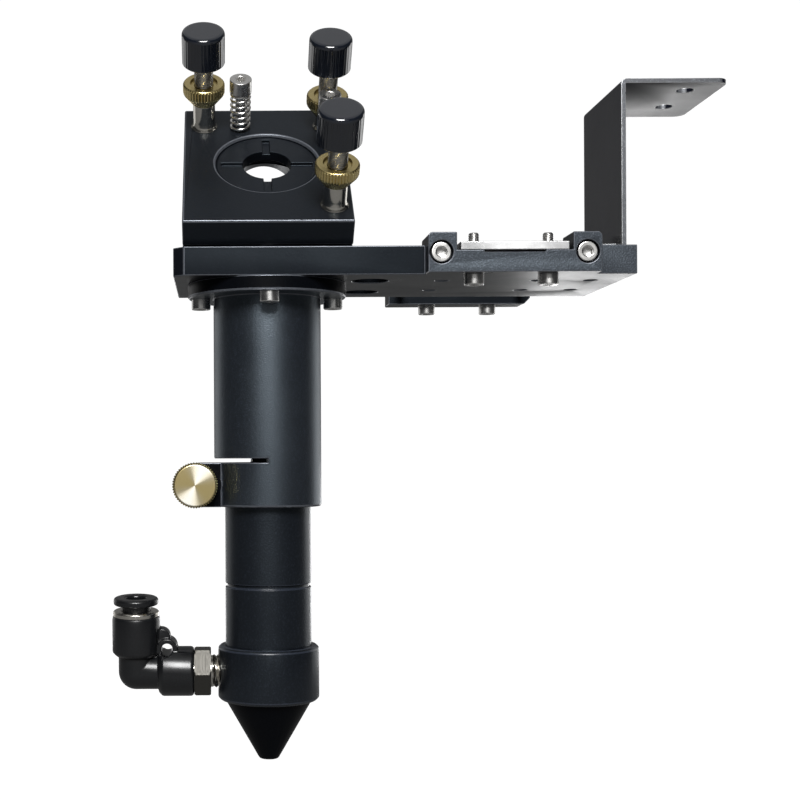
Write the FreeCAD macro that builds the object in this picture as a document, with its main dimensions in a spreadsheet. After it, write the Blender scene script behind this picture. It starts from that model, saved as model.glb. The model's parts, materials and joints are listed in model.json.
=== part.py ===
"""Laser cutting head: a 45 degree mirror mount, a focusing tube and an air nozzle on a rail plate.

Millimetres. The origin is the middle of the rail carriage's four holes, on the plate's
underside, +Z up. The beam comes in along -Y, turns at the mirror plate and goes down the tubes.
"""
import FreeCAD, Part
import math
import os
import re
import Sketcher

SIZES = {
    # M3 socket head screws and their holes
    "screw_dia": 3.0,
    "screw_clear": 3.4,
    "thread_gap": 0.05,
    "head_dia": 5.5,
    "head_high": 3.0,
    "head_well": 6.0,
    "well_floor": 3.4,
    "key_flats": 2.5,
    "key_deep": 1.6,
    # The beam, measured from the middle of the rail carriage's holes
    "beam_left": 63.5,
    "beam_front": 3.65,
    "beam_high": 29.75,
    # Carriage plate
    "plate_left": 90.2,
    "plate_right": 37.8,
    "front_rim": 2.35,
    "plate_back": 27.65,
    "plate_thick": 8.0,
    "plate_corner": 3.0,
    "rail_pitch_x": 27.5,
    "rail_pitch_y": 22.0,
    "rail_hole": 3.4,
    "rail_bevel": 0.4,
    "access_dia": 10.6,
    "access_left": 34.2,
    "access_back": 2.05,
    "access_pitch": 26.2,
    # Belt clamps and their tension screws
    "belt_x": 3.1,
    "boss_width": 47.4,
    "boss_reach": 4.95,
    "ear_width": 7.9,
    "ear_deep": 11.5,
    "ear_high": 2.9,
    "ear_bevel": 0.8,
    "recess_deep": 2.0,
    "channel_in": 1.95,
    "channel_deep": 0.6,
    "tension_x": 2.95,
    "tension_in": 3.8,
    "tension_drop": 2.5,
    "tension_bore": 3.2,
    "tension_well": 6.4,
    "tension_long": 90.0,
    "well_deep": 3.3,
    "bar_side": 0.95,
    "bar_thick": 2.4,
    "bar_inset": 0.25,
    "clamp_in": 4.6,
    "clamp_screw_long": 11.4,
    "rear_gap": 25.7,
    "rear_deep": 10.0,
    "rear_low": 0.6,
    "rear_corner": 2.0,
    # Cable bracket, folded from sheet
    "web_x": 34.0,
    "sheet_thick": 1.3,
    "web_front": 23.65,
    "web_back": 13.85,
    "web_top": 54.2,
    "flange_reach": 63.9,
    "bend_round": 1.6,
    "flange_corner": 3.0,
    "bracket_hole": 4.8,
    "bracket_hole_x": 54.5,
    "bracket_hole_front": 6.65,
    "bracket_pitch": 17.6,
    "foot_width": 10.0,
    "foot_front": 18.15,
    "foot_screw_x": 28.75,
    "foot_screw_long": 8.0,
    "foot_hole_bevel": 0.5,
    # Outer tube with its flange and clamp lugs
    "flange_rim": 7.4,
    "flange_thick": 4.2,
    "flange_screw_out": 3.6,
    "flange_screw_long": 12.0,
    "flange_edge": 0.4,
    "outer_wall": 3.1,
    "outer_low": 64.4,
    "slide_gap": 0.05,
    "slit_top": 50.5,
    "slit_wide": 1.2,
    "slit_end_front": 0.4,
    "slit_end_back": 4.7,
    "pinch_slit": 1.5,
    "lug_out": 10.4,
    "lug_deep": 16.5,
    "stud_out": 5.4,
    "knob_gap": 0.05,
    "knob_dia": 13.0,
    "knob_thick": 5.7,
    "knob_bevel": 0.75,
    "knob_grooves": 44,
    "groove_deep": 0.35,
    "stud_dia": 4.0,
    "stud_clear": 4.4,
    "stud_long": 20.0,
    "stud_socket": 4.0,
    # Lens tubes, lens and its seat
    "lens_tube_dia": 25.0,
    "lens_tube_top": 52.0,
    "upper_wall": 2.0,
    "joint_low": 86.7,
    "joint_wide": 1.0,
    "joint_deep": 0.6,
    "spigot_in": 1.05,
    "spigot_long": 6.0,
    "lower_wall": 3.5,
    "lens_seat": 90.0,
    "lens_wall": 2.5,
    "lens_thick": 2.6,
    "lens_curve": 71.0,
    "lens_gap": 0.1,
    "gasket_thick": 0.8,
    "retainer_thick": 2.0,
    "retainer_wide": 1.5,
    # Air nozzle
    "nozzle_top": 104.7,
    "nozzle_wall": 2.2,
    "nozzle_low": 120.5,
    "nozzle_edge": 0.8,
    "socket_deep": 2.0,
    "cone_step": 2.0,
    "tip_spigot_long": 3.2,
    "tip_low": 137.8,
    "tip_dia": 6.0,
    "tip_edge": 0.4,
    "throat_in": 2.0,
    "throat_low": 133.4,
    "exit_dia": 2.4,
    # Push-in elbow for the air hose
    "fitting_low": 112.4,
    "fitting_thread": 9.7,
    "fitting_out": 2.1,
    "hex_flats": 13.0,
    "hex_long": 4.8,
    "stem_dia": 8.0,
    "stem_long": 11.0,
    "stem_bore": 5.0,
    "elbow_lean": 5.0,
    "barrel_dia": 14.4,
    "barrel_long": 10.3,
    "barrel_bevel": 1.2,
    "corner_dia": 10.4,
    "leg_out": 21.7,
    "leg_dia": 13.9,
    "leg_low": 4.7,
    "leg_top": 16.5,
    "leg_bore": 10.6,
    "leg_floor": 5.0,
    "eye_in": 9.0,
    "eye_high": 7.1,
    "eye_dia": 6.0,
    "eye_hole": 3.3,
    "eye_deep": 6.6,
    "web_deep": 4.4,
    "ring_cap_dia": 13.4,
    "ring_cap_high": 1.5,
    "sleeve_low": 9.2,
    "collet_dia": 8.6,
    "collet_low": 10.0,
    "collet_top": 21.8,
    "collet_flange_dia": 13.0,
    "collet_flange_thick": 2.1,
    "collet_mouth": 0.45,
    "hose_bore": 6.1,
    "grip_low": 8.2,
    "grip_thick": 0.5,
    "seal_thick": 2.4,
    # Mirror block and the tilting mirror plate at 45 degrees
    "block_back": 24.0,
    "block_toe": 1.5,
    "block_bore": 20.0,
    "block_screw_pitch": 33.0,
    "block_screw_front": 7.0,
    "block_screw_back": 10.0,
    "block_screw_long": 10.0,
    "tilt_gap": 1.0,
    "mirror_plate_left": 24.05,
    "mirror_plate_right": 23.25,
    "mirror_plate_long": 57.7,
    "mirror_plate_thick": 8.0,
    "mirror_plate_edge": 0.3,
    "mirror_depth": 7.0,
    "mirror_dia": 25.4,
    "mirror_view": 23.0,
    "ring_dia": 29.4,
    "ring_thick": 3.0,
    "ring_sunk": 0.8,
    "ring_lip": 0.45,
    "ring_hole": 14.0,
    "ring_slot_wide": 2.2,
    "ring_slot_deep": 1.0,
    "ring_slot_end": 13.2,
    # Adjusters, lock nuts and the springs that pull the mirror plate down
    "adjuster_side": 18.1,
    "adjuster_up": 19.5,
    "adjuster_down": 21.5,
    "bush_dia": 6.5,
    "bush_flare": 7.9,
    "flare_high": 1.0,
    "shaft_dia": 5.5,
    "nut_a_low": 11.4,
    "nut_b_low": 7.5,
    "nut_c_low": 10.5,
    "nut_neck_dia": 7.0,
    "nut_taper": 1.4,
    "nut_dia": 12.2,
    "nut_thick": 3.1,
    "nut_bevel": 0.5,
    "nut_grooves": 36,
    "cap_a_low": 20.6,
    "cap_b_low": 18.7,
    "cap_c_low": 20.1,
    "cap_high": 10.0,
    "cap_dia": 12.3,
    "cap_round": 0.7,
    "cap_flutes": 32,
    "flute_deep": 0.25,
    "cap_bore_deep": 7.5,
    "spring_1_side": 7.4,
    "spring_1_up": 18.5,
    "spring_2_side": 17.9,
    "spring_2_up": 9.7,
    "spring_dia": 6.2,
    "wire_dia": 0.8,
    "spring_long": 12.2,
    "spring_turns": 7,
    "spring_gap": 0.05,
    "spring_head_dia": 6.4,
    "spring_head_high": 4.0,
    "spring_screw_long": 25.0,
    "spring_screw_clear": 4.0,
}

# Sizes that follow others
FOLLOWING = {
    "outer_dia": "lens_tube_dia + 2 * outer_wall",
    "flange_dia": "outer_dia + 2 * flange_rim",
    "flange_pcd": "outer_dia + 2 * flange_screw_out",
    "lug_end": "outer_dia / 2 + lug_out",
    "stud_left": "outer_dia / 2 + stud_out",
    "plate_front": "beam_front + flange_pcd / 2 + front_rim",
    "upper_bore": "lens_tube_dia - 2 * upper_wall",
    "spigot_dia": "lens_tube_dia - 2 * spigot_in",
    "lower_bore": "lens_tube_dia - 2 * lower_wall",
    "lens_dia": "lens_tube_dia - 2 * lens_wall",
    "retainer_bore": "lens_dia - 2 * retainer_wide",
    "nozzle_dia": "lens_tube_dia + 2 * nozzle_wall",
    "chamber_dia": "lower_bore",
    "cone_dia": "nozzle_dia - 2 * cone_step",
    "throat_dia": "chamber_dia - 2 * throat_in",
    "fitting_seat": "nozzle_dia / 2 + fitting_out",
    "leg_x": "fitting_seat + leg_out",
    "eye_x": "leg_x - eye_in",
    "tension_pitch": "boss_width - 2 * tension_in",
    "bar_width": "boss_width - 2 * (ear_width + bar_side)",
    "clamp_pitch": "bar_width - 2 * clamp_in",
    "channel_width": "clamp_pitch - 2 * channel_in",
}

# The mirror stands at 45 degrees because it turns the beam through a right angle.
MIRROR_ANGLE = 45
X_AXIS = FreeCAD.Vector(1, 0, 0)
Y_AXIS = FreeCAD.Vector(0, 1, 0)
Z_AXIS = FreeCAD.Vector(0, 0, 1)
UPRIGHT = FreeCAD.Rotation(X_AXIS, 0)
HEAD_DOWN = FreeCAD.Rotation(X_AXIS, 180)
TO_FRONT = FreeCAD.Rotation(X_AXIS, 90)
TO_LEFT = FreeCAD.Rotation(Y_AXIS, -90)
ON_SLOPE = FreeCAD.Rotation(X_AXIS, MIRROR_ANGLE)

doc = FreeCAD.newDocument("laser_cutting_head")
sheet = doc.addObject("Spreadsheet::Sheet", "sizes")
CELLS = {**SIZES, **{alias: f"={formula}" for alias, formula in FOLLOWING.items()}}
for row, (alias, size) in enumerate(CELLS.items(), start=1):
    sheet.set(f"A{row}", alias)
    sheet.set(f"B{row}", str(size))
    sheet.setAlias(f"B{row}", alias)
doc.recompute()

pieces = []


def linked(text):
    """Turn the size names in an expression into references to the sheet's cells."""
    return re.sub(r"[a-z]\w*", lambda word: f"sizes.{word[0]}" if word[0] in CELLS else word[0], text)


def bind(thing, path, text):
    """Tie one property of an object to an expression of the sheet's sizes."""
    thing.setExpression(path, linked(text))


def put(thing, place, turn=UPRIGHT):
    """Set an object's turn, and tie its place to three expressions."""
    thing.Placement = FreeCAD.Placement(FreeCAD.Vector(), turn)
    for axis, text in zip("xyz", place):
        bind(thing, f"Placement.Base.{axis}", text)


def from_beam(x, y, z):
    """A place measured from the beam's downward line, at the plate's underside."""
    return (f"-beam_left + ({x})", f"-beam_front + ({y})", z)


def on_slope(side, up, out="0"):
    """A place on the mirror plate's top face: sideways, up the slope and out along its normal."""
    y = f"-beam_front + (({up}) - ({out}) - mirror_depth) / sqrt(2)"
    z = f"beam_high + (({up}) + ({out}) + mirror_depth) / sqrt(2)"
    return (f"-beam_left + ({side})", y, z)


def new_body(label, place=("0", "0", "0"), turn=UPRIGHT):
    """One piece of the head, with its own frame."""
    body = doc.addObject("PartDesign::Body", label)
    body.Label = label
    put(body, place, turn)
    pieces.append(body)
    return body


def sketch_on(body, plane="XY_Plane", lift="0"):
    """A sketch on one of the body's own planes, lifted along the plane's normal."""
    sketch = body.newObject("Sketcher::SketchObject", f"{body.Name}_sketch")
    origin = [feature for feature in body.Origin.OriginFeatures if feature.Role == plane]
    sketch.AttachmentSupport = [(origin[0], "")]
    sketch.MapMode = "FlatFace"
    bind(sketch, "AttachmentOffset.Base.z", lift)
    return sketch


def tie_point(sketch, edge, end, x, y):
    """Hold a sketch point at two expressions, measured from the sketch's origin."""
    for kind, text in (("DistanceX", x), ("DistanceY", y)):
        number = sketch.addConstraint(Sketcher.Constraint(kind, -1, 1, edge, end, 1.0))
        bind(sketch, f"Constraints[{number}]", text)


def outline(sketch, corners):
    """A closed outline of straight lines through the corners."""
    first = sketch.GeometryCount
    count = len(corners)
    spots = [FreeCAD.Vector(math.cos(math.tau * i / count), math.sin(math.tau * i / count), 0)
             for i in range(count)]
    for i in range(count):
        sketch.addGeometry(Part.LineSegment(spots[i], spots[(i + 1) % count]), False)
    for i in range(count):
        follower = first + (i + 1) % count
        sketch.addConstraint(Sketcher.Constraint("Coincident", first + i, 2, follower, 1))
    for i, (x, y) in enumerate(corners):
        tie_point(sketch, first + i, 1, x, y)


def rectangle(sketch, x_low, x_high, y_low, y_high):
    """A closed rectangle between four expressions."""
    outline(sketch, [(x_low, y_low), (x_high, y_low), (x_high, y_high), (x_low, y_high)])


def circle(sketch, x, y, diameter):
    """A circle whose middle and diameter are expressions."""
    edge = sketch.addGeometry(Part.Circle(FreeCAD.Vector(), FreeCAD.Vector(0, 0, 1), 1.0), False)
    tie_point(sketch, edge, 3, x, y)
    number = sketch.addConstraint(Sketcher.Constraint("Diameter", edge, 2.0))
    bind(sketch, f"Constraints[{number}]", diameter)


def pad(body, sketch, length, both_ways=False, backward=False):
    """Raise a sketch into material."""
    feature = body.newObject("PartDesign::Pad", f"{body.Name}_pad")
    feature.Profile = sketch
    feature.Midplane = both_ways
    feature.Reversed = backward
    bind(feature, "Length", length)
    doc.recompute()
    return feature


def pocket(body, sketch, length=None, both_ways=False, forward=False):
    """Cut a sketch into the body: right through it, or to a stated depth."""
    before = body.Shape.Volume
    feature = body.newObject("PartDesign::Pocket", f"{body.Name}_pocket")
    feature.Profile = sketch
    feature.Midplane = both_ways
    feature.Reversed = forward
    if length is None:
        feature.Type = "ThroughAll"
    else:
        bind(feature, "Length", length)
    doc.recompute()
    if body.Shape.Volume >= before:
        raise RuntimeError(f"{feature.Name} in {body.Label} cuts nothing")
    return feature


def turn_solid(body, corners):
    """Material turned about the body's own Z axis from a half section of radius and height."""
    sketch = sketch_on(body, "XZ_Plane")
    outline(sketch, corners)
    feature = body.newObject("PartDesign::Revolution", f"{body.Name}_turning")
    feature.Profile = sketch
    feature.ReferenceAxis = (sketch, ["V_Axis"])
    feature.Angle = 360
    doc.recompute()
    return feature


def turned(label, corners, place, turn=UPRIGHT):
    """A piece that is one turning."""
    body = new_body(label, place, turn)
    turn_solid(body, corners)
    return body


def around(body, feature, count):
    """Repeat a feature evenly about the body's own Z axis."""
    axis = [item for item in body.Origin.OriginFeatures if item.Role == "Z_Axis"][0]
    pattern = body.newObject("PartDesign::PolarPattern", f"{body.Name}_pattern")
    pattern.Originals = [feature]
    pattern.Axis = (axis, [""])
    pattern.Angle = 360
    bind(pattern, "Occurrences", count)
    body.Tip = pattern
    doc.recompute()
    return pattern


def dress(body, kind, size_name, size, wanted):
    """Fillet or chamfer the edges of the body that pass a test."""
    base = body.Tip
    names = [f"Edge{i}" for i, edge in enumerate(base.Shape.Edges, start=1)
             if wanted(edge, edge.CenterOfMass)]
    if not names:
        raise RuntimeError(f"{body.Label} has no such edge")
    feature = body.newObject(f"PartDesign::{kind}", f"{body.Name}_{kind.lower()}")
    feature.Base = (base, names)
    bind(feature, size_name, size)
    doc.recompute()


def is_round(edge):
    """True for an edge that is a circle or an arc."""
    return hasattr(edge.Curve, "Radius")


def is_along(edge, axis):
    """True for a straight edge that runs along one axis."""
    if is_round(edge) or len(edge.Vertexes) < 2:
        return False
    run = edge.Vertexes[1].Point - edge.Vertexes[0].Point
    return run.getAngle(axis) < 1e-3 or run.getAngle(-axis) < 1e-3


def primitive(kind, label, place=("0", "0", "0"), turn=UPRIGHT, **sizes):
    """A plain solid of the Part module, with its sizes tied to expressions."""
    thing = doc.addObject(f"Part::{kind}", label)
    for name, text in sizes.items():
        bind(thing, name, text)
    put(thing, place, turn)
    return thing


def fused(label, things):
    """Several solids as one."""
    thing = doc.addObject("Part::MultiFuse", label)
    thing.Shapes = things
    thing.Refine = True
    return thing


def cut(label, base, tool):
    """One solid less another."""
    thing = doc.addObject("Part::Cut", label)
    thing.Base = base
    thing.Tool = tool
    return thing


def socket_screw(label, long, place, turn, head_size):
    """A socket head screw: its seat is at the place, and its head points along the turned Z."""
    dia, high = head_size
    head = primitive("Cylinder", f"{label}_head", Radius=f"{dia} / 2", Height=high)
    shank = primitive("Cylinder", f"{label}_shank", ("0", "0", f"-({long})"),
                      Radius="screw_dia / 2", Height=long)
    key = primitive("Prism", f"{label}_key", ("0", "0", f"{high} - key_deep"),
                    Circumradius="key_flats / sqrt(3)", Height="head_high")
    key.Polygon = 6
    screw = cut(label, fused(f"{label}_blank", [head, shank]), key)
    put(screw, place, turn)
    return screw


def screw_group(label, long, places, turn, head_size=("head_dia", "head_high")):
    """Identical screws as one node of separate solids."""
    screws = [socket_screw(f"{label}_{i}", long, place, turn, head_size)
              for i, place in enumerate(places, start=1)]
    if len(screws) == 1:
        screws[0].Label = label
        pieces.append(screws[0])
        return
    group = doc.addObject("Part::Compound", label)
    group.Label = label
    group.Links = screws
    pieces.append(group)


# Heights and lines that several pieces share
PLATE_TOP = "plate_thick"
RECESS_FLOOR = "plate_thick - recess_deep"
CHANNEL_FLOOR = "plate_thick - recess_deep - channel_deep"
BOSS_FRONT = "-plate_front - boss_reach"
EAR_BACK = "-plate_front - boss_reach + ear_deep"
TENSION_Z = "plate_thick - tension_drop"
TENSION_XS = ("tension_x - tension_pitch / 2", "tension_x + tension_pitch / 2")
CLAMP_XS = ("belt_x - clamp_pitch / 2", "belt_x + clamp_pitch / 2")
REAR_FRONT = "plate_back + rear_gap"
TAPPED = "screw_dia + 2 * thread_gap"
LUG_TOP = "-slit_top - slit_wide"
LUG_MIDDLE = "-(outer_low + slit_top + slit_wide) / 2"
LUG_ROUND = "outer_low - slit_top - slit_wide"
BLOCK_SCREWS = [(x, y) for x in ("-block_screw_pitch / 2", "block_screw_pitch / 2")
                for y in ("-block_screw_front", "block_screw_back")]
FLANGE_SCREWS = [("flange_pcd / 2", "0"), ("-flange_pcd / 2", "0"),
                 ("0", "flange_pcd / 2"), ("0", "-flange_pcd / 2")]
ADJUSTERS = {
    "a": ("-adjuster_side", "adjuster_up"),
    "b": ("adjuster_side", "adjuster_up"),
    "c": ("adjuster_side", "-adjuster_down"),
}
SPRINGS = {
    "1": ("-spring_1_side", "spring_1_up"),
    "2": ("spring_2_side", "spring_2_up"),
}


def carriage_plate():
    """The milled plate: a bored slab with the front belt clamp's ears and its channel."""
    body = new_body("carriage_plate")
    slab = sketch_on(body)
    outline(slab, [
        ("-plate_left + plate_corner", "-plate_front"),
        ("belt_x - boss_width / 2", "-plate_front"),
        ("belt_x - boss_width / 2", BOSS_FRONT),
        ("belt_x + boss_width / 2", BOSS_FRONT),
        ("belt_x + boss_width / 2", "-plate_front"),
        ("plate_right", "-plate_front"),
        ("plate_right", "plate_back"),
        ("-plate_left", "plate_back"),
        ("-plate_left", "-plate_front + plate_corner"),
    ])
    pad(body, slab, "plate_thick")
    ears = sketch_on(body, lift=f"{PLATE_TOP} - 1")
    rectangle(ears, "belt_x - boss_width / 2", "belt_x - boss_width / 2 + ear_width", BOSS_FRONT, EAR_BACK)
    rectangle(ears, "belt_x + boss_width / 2 - ear_width", "belt_x + boss_width / 2", BOSS_FRONT, EAR_BACK)
    pad(body, ears, "ear_high + 1")
    ear_side = SIZES["boss_width"] / 2 - 1
    dress(body, "Chamfer", "Size", "ear_bevel", lambda edge, middle: is_along(edge, Y_AXIS)
          and middle.z > SIZES["plate_thick"] + 1 and abs(middle.x - SIZES["belt_x"]) > ear_side)
    recess = sketch_on(body, lift=RECESS_FLOOR)
    rectangle(recess, "belt_x - boss_width / 2 + ear_width", "belt_x + boss_width / 2 - ear_width",
              f"{BOSS_FRONT} - 1", EAR_BACK)
    pocket(body, recess, forward=True)
    channel = sketch_on(body, lift=CHANNEL_FLOOR)
    rectangle(channel, "belt_x - channel_width / 2", "belt_x + channel_width / 2",
              f"{BOSS_FRONT} - 1", "plate_back + 1")
    pocket(body, channel, forward=True)
    bores = sketch_on(body)
    circle(bores, "-beam_left", "-beam_front", "block_bore")
    for y in ("access_back - access_pitch / 2", "access_back + access_pitch / 2"):
        circle(bores, "-access_left", y, "access_dia")
    for y in ("-rail_pitch_y / 2", "rail_pitch_y / 2"):
        circle(bores, "-rail_pitch_x / 2", y, "rail_hole")
        circle(bores, "rail_pitch_x / 2", y, "rail_hole")
        circle(bores, "foot_screw_x", y, TAPPED)
    for x in CLAMP_XS:
        circle(bores, x, f"({BOSS_FRONT} + {EAR_BACK}) / 2", "screw_clear")
    for x, y in FLANGE_SCREWS:
        circle(bores, f"-beam_left + {x}", f"-beam_front + ({y})", TAPPED)
    for x, y in BLOCK_SCREWS:
        circle(bores, f"-beam_left + {x}", f"-beam_front + ({y})", "screw_clear")
    pocket(body, bores, forward=True)
    wells = sketch_on(body)
    for x, y in BLOCK_SCREWS:
        circle(wells, f"-beam_left + {x}", f"-beam_front + ({y})", "head_well")
    pocket(body, wells, "well_floor", forward=True)
    for x in TENSION_XS:
        tension = sketch_on(body, "XZ_Plane", f"-({BOSS_FRONT}) + 1")
        circle(tension, x, TENSION_Z, "tension_bore")
        pocket(body, tension)
        well = sketch_on(body, "XZ_Plane", f"-({BOSS_FRONT}) + 1")
        circle(well, x, TENSION_Z, "tension_well")
        pocket(body, well, "well_deep + 1")

    def in_row(edge, middle, low, high):
        """True for the lower rim of a hole in the two rows, between two places along X."""
        on_row = abs(abs(middle.y) - SIZES["rail_pitch_y"] / 2) < 1e-6
        return is_round(edge) and abs(middle.z) < 1e-6 and on_row and low < middle.x < high

    rail, foot = SIZES["rail_pitch_x"], SIZES["foot_screw_x"]
    dress(body, "Chamfer", "Size", "rail_bevel", lambda edge, middle: in_row(edge, middle, -rail, foot - 1))
    dress(body, "Chamfer", "Size", "foot_hole_bevel",
          lambda edge, middle: in_row(edge, middle, foot - 1, foot + 1))


def belt_clamps():
    """The clamp bars of both belt ends, the sliding rear block and all their screws."""
    bars = {
        "belt_clamp_plate": (f"{BOSS_FRONT} + bar_inset", f"{EAR_BACK} - bar_inset"),
        "rear_clamp_plate": (f"{REAR_FRONT} + bar_inset", f"{REAR_FRONT} + rear_deep - bar_inset"),
    }
    screw_y = {
        "belt_clamp_screws": (f"({BOSS_FRONT} + {EAR_BACK}) / 2", "0"),
        "rear_clamp_screws": (f"{REAR_FRONT} + rear_deep / 2", "rear_low"),
    }
    for (label, (front, back)), (screws, (y, seat)) in zip(bars.items(), screw_y.items()):
        bar = new_body(label)
        face = sketch_on(bar, lift=RECESS_FLOOR)
        rectangle(face, "belt_x - bar_width / 2", "belt_x + bar_width / 2", front, back)
        for x in CLAMP_XS:
            circle(face, x, y, TAPPED)
        pad(bar, face, "bar_thick")
        screw_group(screws, "clamp_screw_long", [(x, y, seat) for x in CLAMP_XS], HEAD_DOWN)

    block = new_body("rear_belt_block")
    left, right = "belt_x - boss_width / 2", "belt_x + boss_width / 2"
    section = sketch_on(block, "XZ_Plane", f"-({REAR_FRONT})")
    outline(section, [
        (left, "rear_low"),
        (f"{right} - rear_corner", "rear_low"),
        (right, "rear_low + rear_corner"),
        (right, f"{PLATE_TOP} + ear_high"),
        (f"{right} - ear_width", f"{PLATE_TOP} + ear_high"),
        (f"{right} - ear_width", RECESS_FLOOR),
        ("belt_x + channel_width / 2", RECESS_FLOOR),
        ("belt_x + channel_width / 2", CHANNEL_FLOOR),
        ("belt_x - channel_width / 2", CHANNEL_FLOOR),
        ("belt_x - channel_width / 2", RECESS_FLOOR),
        (f"{left} + ear_width", RECESS_FLOOR),
        (f"{left} + ear_width", f"{PLATE_TOP} + ear_high"),
        (left, f"{PLATE_TOP} + ear_high"),
    ])
    for x in TENSION_XS:
        circle(section, x, TENSION_Z, TAPPED)
    pad(block, section, "rear_deep", backward=True)
    upright = sketch_on(block)
    for x in CLAMP_XS:
        circle(upright, x, f"{REAR_FRONT} + rear_deep / 2", "screw_clear")
    pocket(block, upright, forward=True)

    seat = f"{BOSS_FRONT} + well_deep"
    for label, x in zip(("tension_screw_left", "tension_screw_right"), TENSION_XS):
        screw_group(label, "tension_long", [(x, seat, TENSION_Z)], TO_FRONT)


def cable_bracket():
    """A folded sheet bracket with a wide top flange and a narrow foot on the plate."""
    body = new_body("cable_bracket")
    outer = "web_x + sheet_thick"
    fold = sketch_on(body, "XZ_Plane", "-web_back")
    outline(fold, [
        ("web_x", PLATE_TOP),
        (outer, PLATE_TOP),
        (outer, "web_top - sheet_thick"),
        ("flange_reach", "web_top - sheet_thick"),
        ("flange_reach", "web_top"),
        ("web_x", "web_top"),
    ])
    pad(body, fold, "web_front + web_back")
    foot = sketch_on(body, lift=PLATE_TOP)
    rectangle(foot, f"{outer} - foot_width", outer, "-foot_front", "web_back")
    pad(body, foot, "sheet_thick")
    top = SIZES["web_top"]
    dress(body, "Fillet", "Radius", "bend_round", lambda edge, middle: is_along(edge, Y_AXIS)
          and abs(middle.x - SIZES["web_x"]) < 1e-6 and abs(middle.z - top) < 1e-6)
    dress(body, "Fillet", "Radius", "flange_corner", lambda edge, middle: is_along(edge, Z_AXIS)
          and abs(middle.x - SIZES["flange_reach"]) < 1e-6)
    holes = sketch_on(body, lift="web_top - 2 * sheet_thick")
    for y in ("-bracket_hole_front - bracket_pitch / 2", "-bracket_hole_front + bracket_pitch / 2"):
        circle(holes, "bracket_hole_x", y, "bracket_hole")
    pocket(body, holes, forward=True)
    foot_holes = sketch_on(body, lift=f"{PLATE_TOP} + 2 * sheet_thick")
    rows = ("-rail_pitch_y / 2", "rail_pitch_y / 2")
    for y in rows:
        circle(foot_holes, "foot_screw_x", y, "screw_clear")
    pocket(body, foot_holes)
    places = [("foot_screw_x", y, f"{PLATE_TOP} + sheet_thick") for y in rows]
    screw_group("bracket_screws", "foot_screw_long", places, UPRIGHT)


def outer_tube():
    """The flanged tube: its foot is slit and pinched round the lens tube by two lugs."""
    body = new_body("outer_tube", from_beam("0", "0", "0"))
    bore = "lens_tube_dia / 2 + slide_gap"
    turn_solid(body, [
        (bore, "0"),
        ("flange_dia / 2", "0"),
        ("flange_dia / 2", "-flange_thick + flange_edge"),
        ("flange_dia / 2 - flange_edge", "-flange_thick"),
        ("outer_dia / 2", "-flange_thick"),
        ("outer_dia / 2", "-outer_low + flange_edge"),
        ("outer_dia / 2 - flange_edge", "-outer_low"),
        (bore, "-outer_low"),
    ])
    arm = sketch_on(body, "XZ_Plane")
    eye_x = f"-lug_end + ({LUG_ROUND}) / 2"
    rectangle(arm, eye_x, "-lens_tube_dia / 2 - 1", "-outer_low", LUG_TOP)
    pad(body, arm, "lug_deep", both_ways=True)
    eye = sketch_on(body, "XZ_Plane")
    circle(eye, eye_x, LUG_MIDDLE, LUG_ROUND)
    pad(body, eye, "lug_deep", both_ways=True)
    saw = sketch_on(body, lift="-slit_top")
    outline(saw, [
        ("-lug_end - 5", "-outer_dia"),
        ("-slit_end_front", "-outer_dia / 2"),
        ("-slit_end_back", "outer_dia / 2"),
        ("-lug_end - 5", "outer_dia"),
    ])
    pocket(body, saw, "slit_wide")
    pinch = sketch_on(body, lift="-slit_top - slit_wide / 2")
    rectangle(pinch, "-lug_end - 5", "-lens_tube_dia / 4", "-pinch_slit / 2", "pinch_slit / 2")
    pocket(body, pinch)
    near = sketch_on(body, "XZ_Plane")
    circle(near, "-stud_left", LUG_MIDDLE, "stud_clear")
    pocket(body, near, "lug_deep", forward=True)
    far = sketch_on(body, "XZ_Plane")
    circle(far, "-stud_left", LUG_MIDDLE, "stud_dia + 2 * thread_gap")
    pocket(body, far, "lug_deep")
    holes = sketch_on(body)
    for x, y in FLANGE_SCREWS:
        circle(holes, x, y, "screw_clear")
    pocket(body, holes)
    places = [from_beam(x, y, "-flange_thick") for x, y in FLANGE_SCREWS]
    screw_group("flange_screws", "flange_screw_long", places, HEAD_DOWN)


def notch_rim(body, rim_dia, deep, count, low):
    """Cut even V grooves into the rim of a turned piece, upward from a height."""
    sketch = sketch_on(body, lift=low)
    rim = f"({rim_dia}) / 2"
    half = f"({deep}) * 0.8"
    outline(sketch, [
        (f"{rim} - ({deep})", "0"),
        (f"{rim} + 0.3", f"-({half}) * (({deep}) + 0.3) / ({deep})"),
        (f"{rim} + 0.3", f"({half}) * (({deep}) + 0.3) / ({deep})"),
    ])
    groove = pocket(body, sketch, forward=True)
    around(body, groove, count)


def clamp_screw():
    """The brass thumb knob and its steel stud."""
    seat = from_beam("-stud_left", "-lug_deep / 2 - knob_gap", LUG_MIDDLE)
    knob = new_body("clamp_knob", seat, TO_FRONT)
    turn_solid(knob, [
        ("stud_dia / 2", "0"),
        ("knob_dia / 2 - 0.3", "0"),
        ("knob_dia / 2", "0.3"),
        ("knob_dia / 2", "knob_thick - knob_bevel"),
        ("knob_dia / 2 - knob_bevel", "knob_thick"),
        ("0", "knob_thick"),
        ("0", "stud_socket"),
        ("stud_dia / 2", "stud_socket"),
    ])
    notch_rim(knob, "knob_dia", "groove_deep", "knob_grooves", "-1")
    stud = new_body("clamp_stud", seat, TO_FRONT)
    end = "stud_socket - stud_long"
    turn_solid(stud, [
        ("0", end),
        ("stud_dia / 2 - 0.4", end),
        ("stud_dia / 2", f"{end} + 0.4"),
        ("stud_dia / 2", "stud_socket"),
        ("0", "stud_socket"),
    ])


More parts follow.
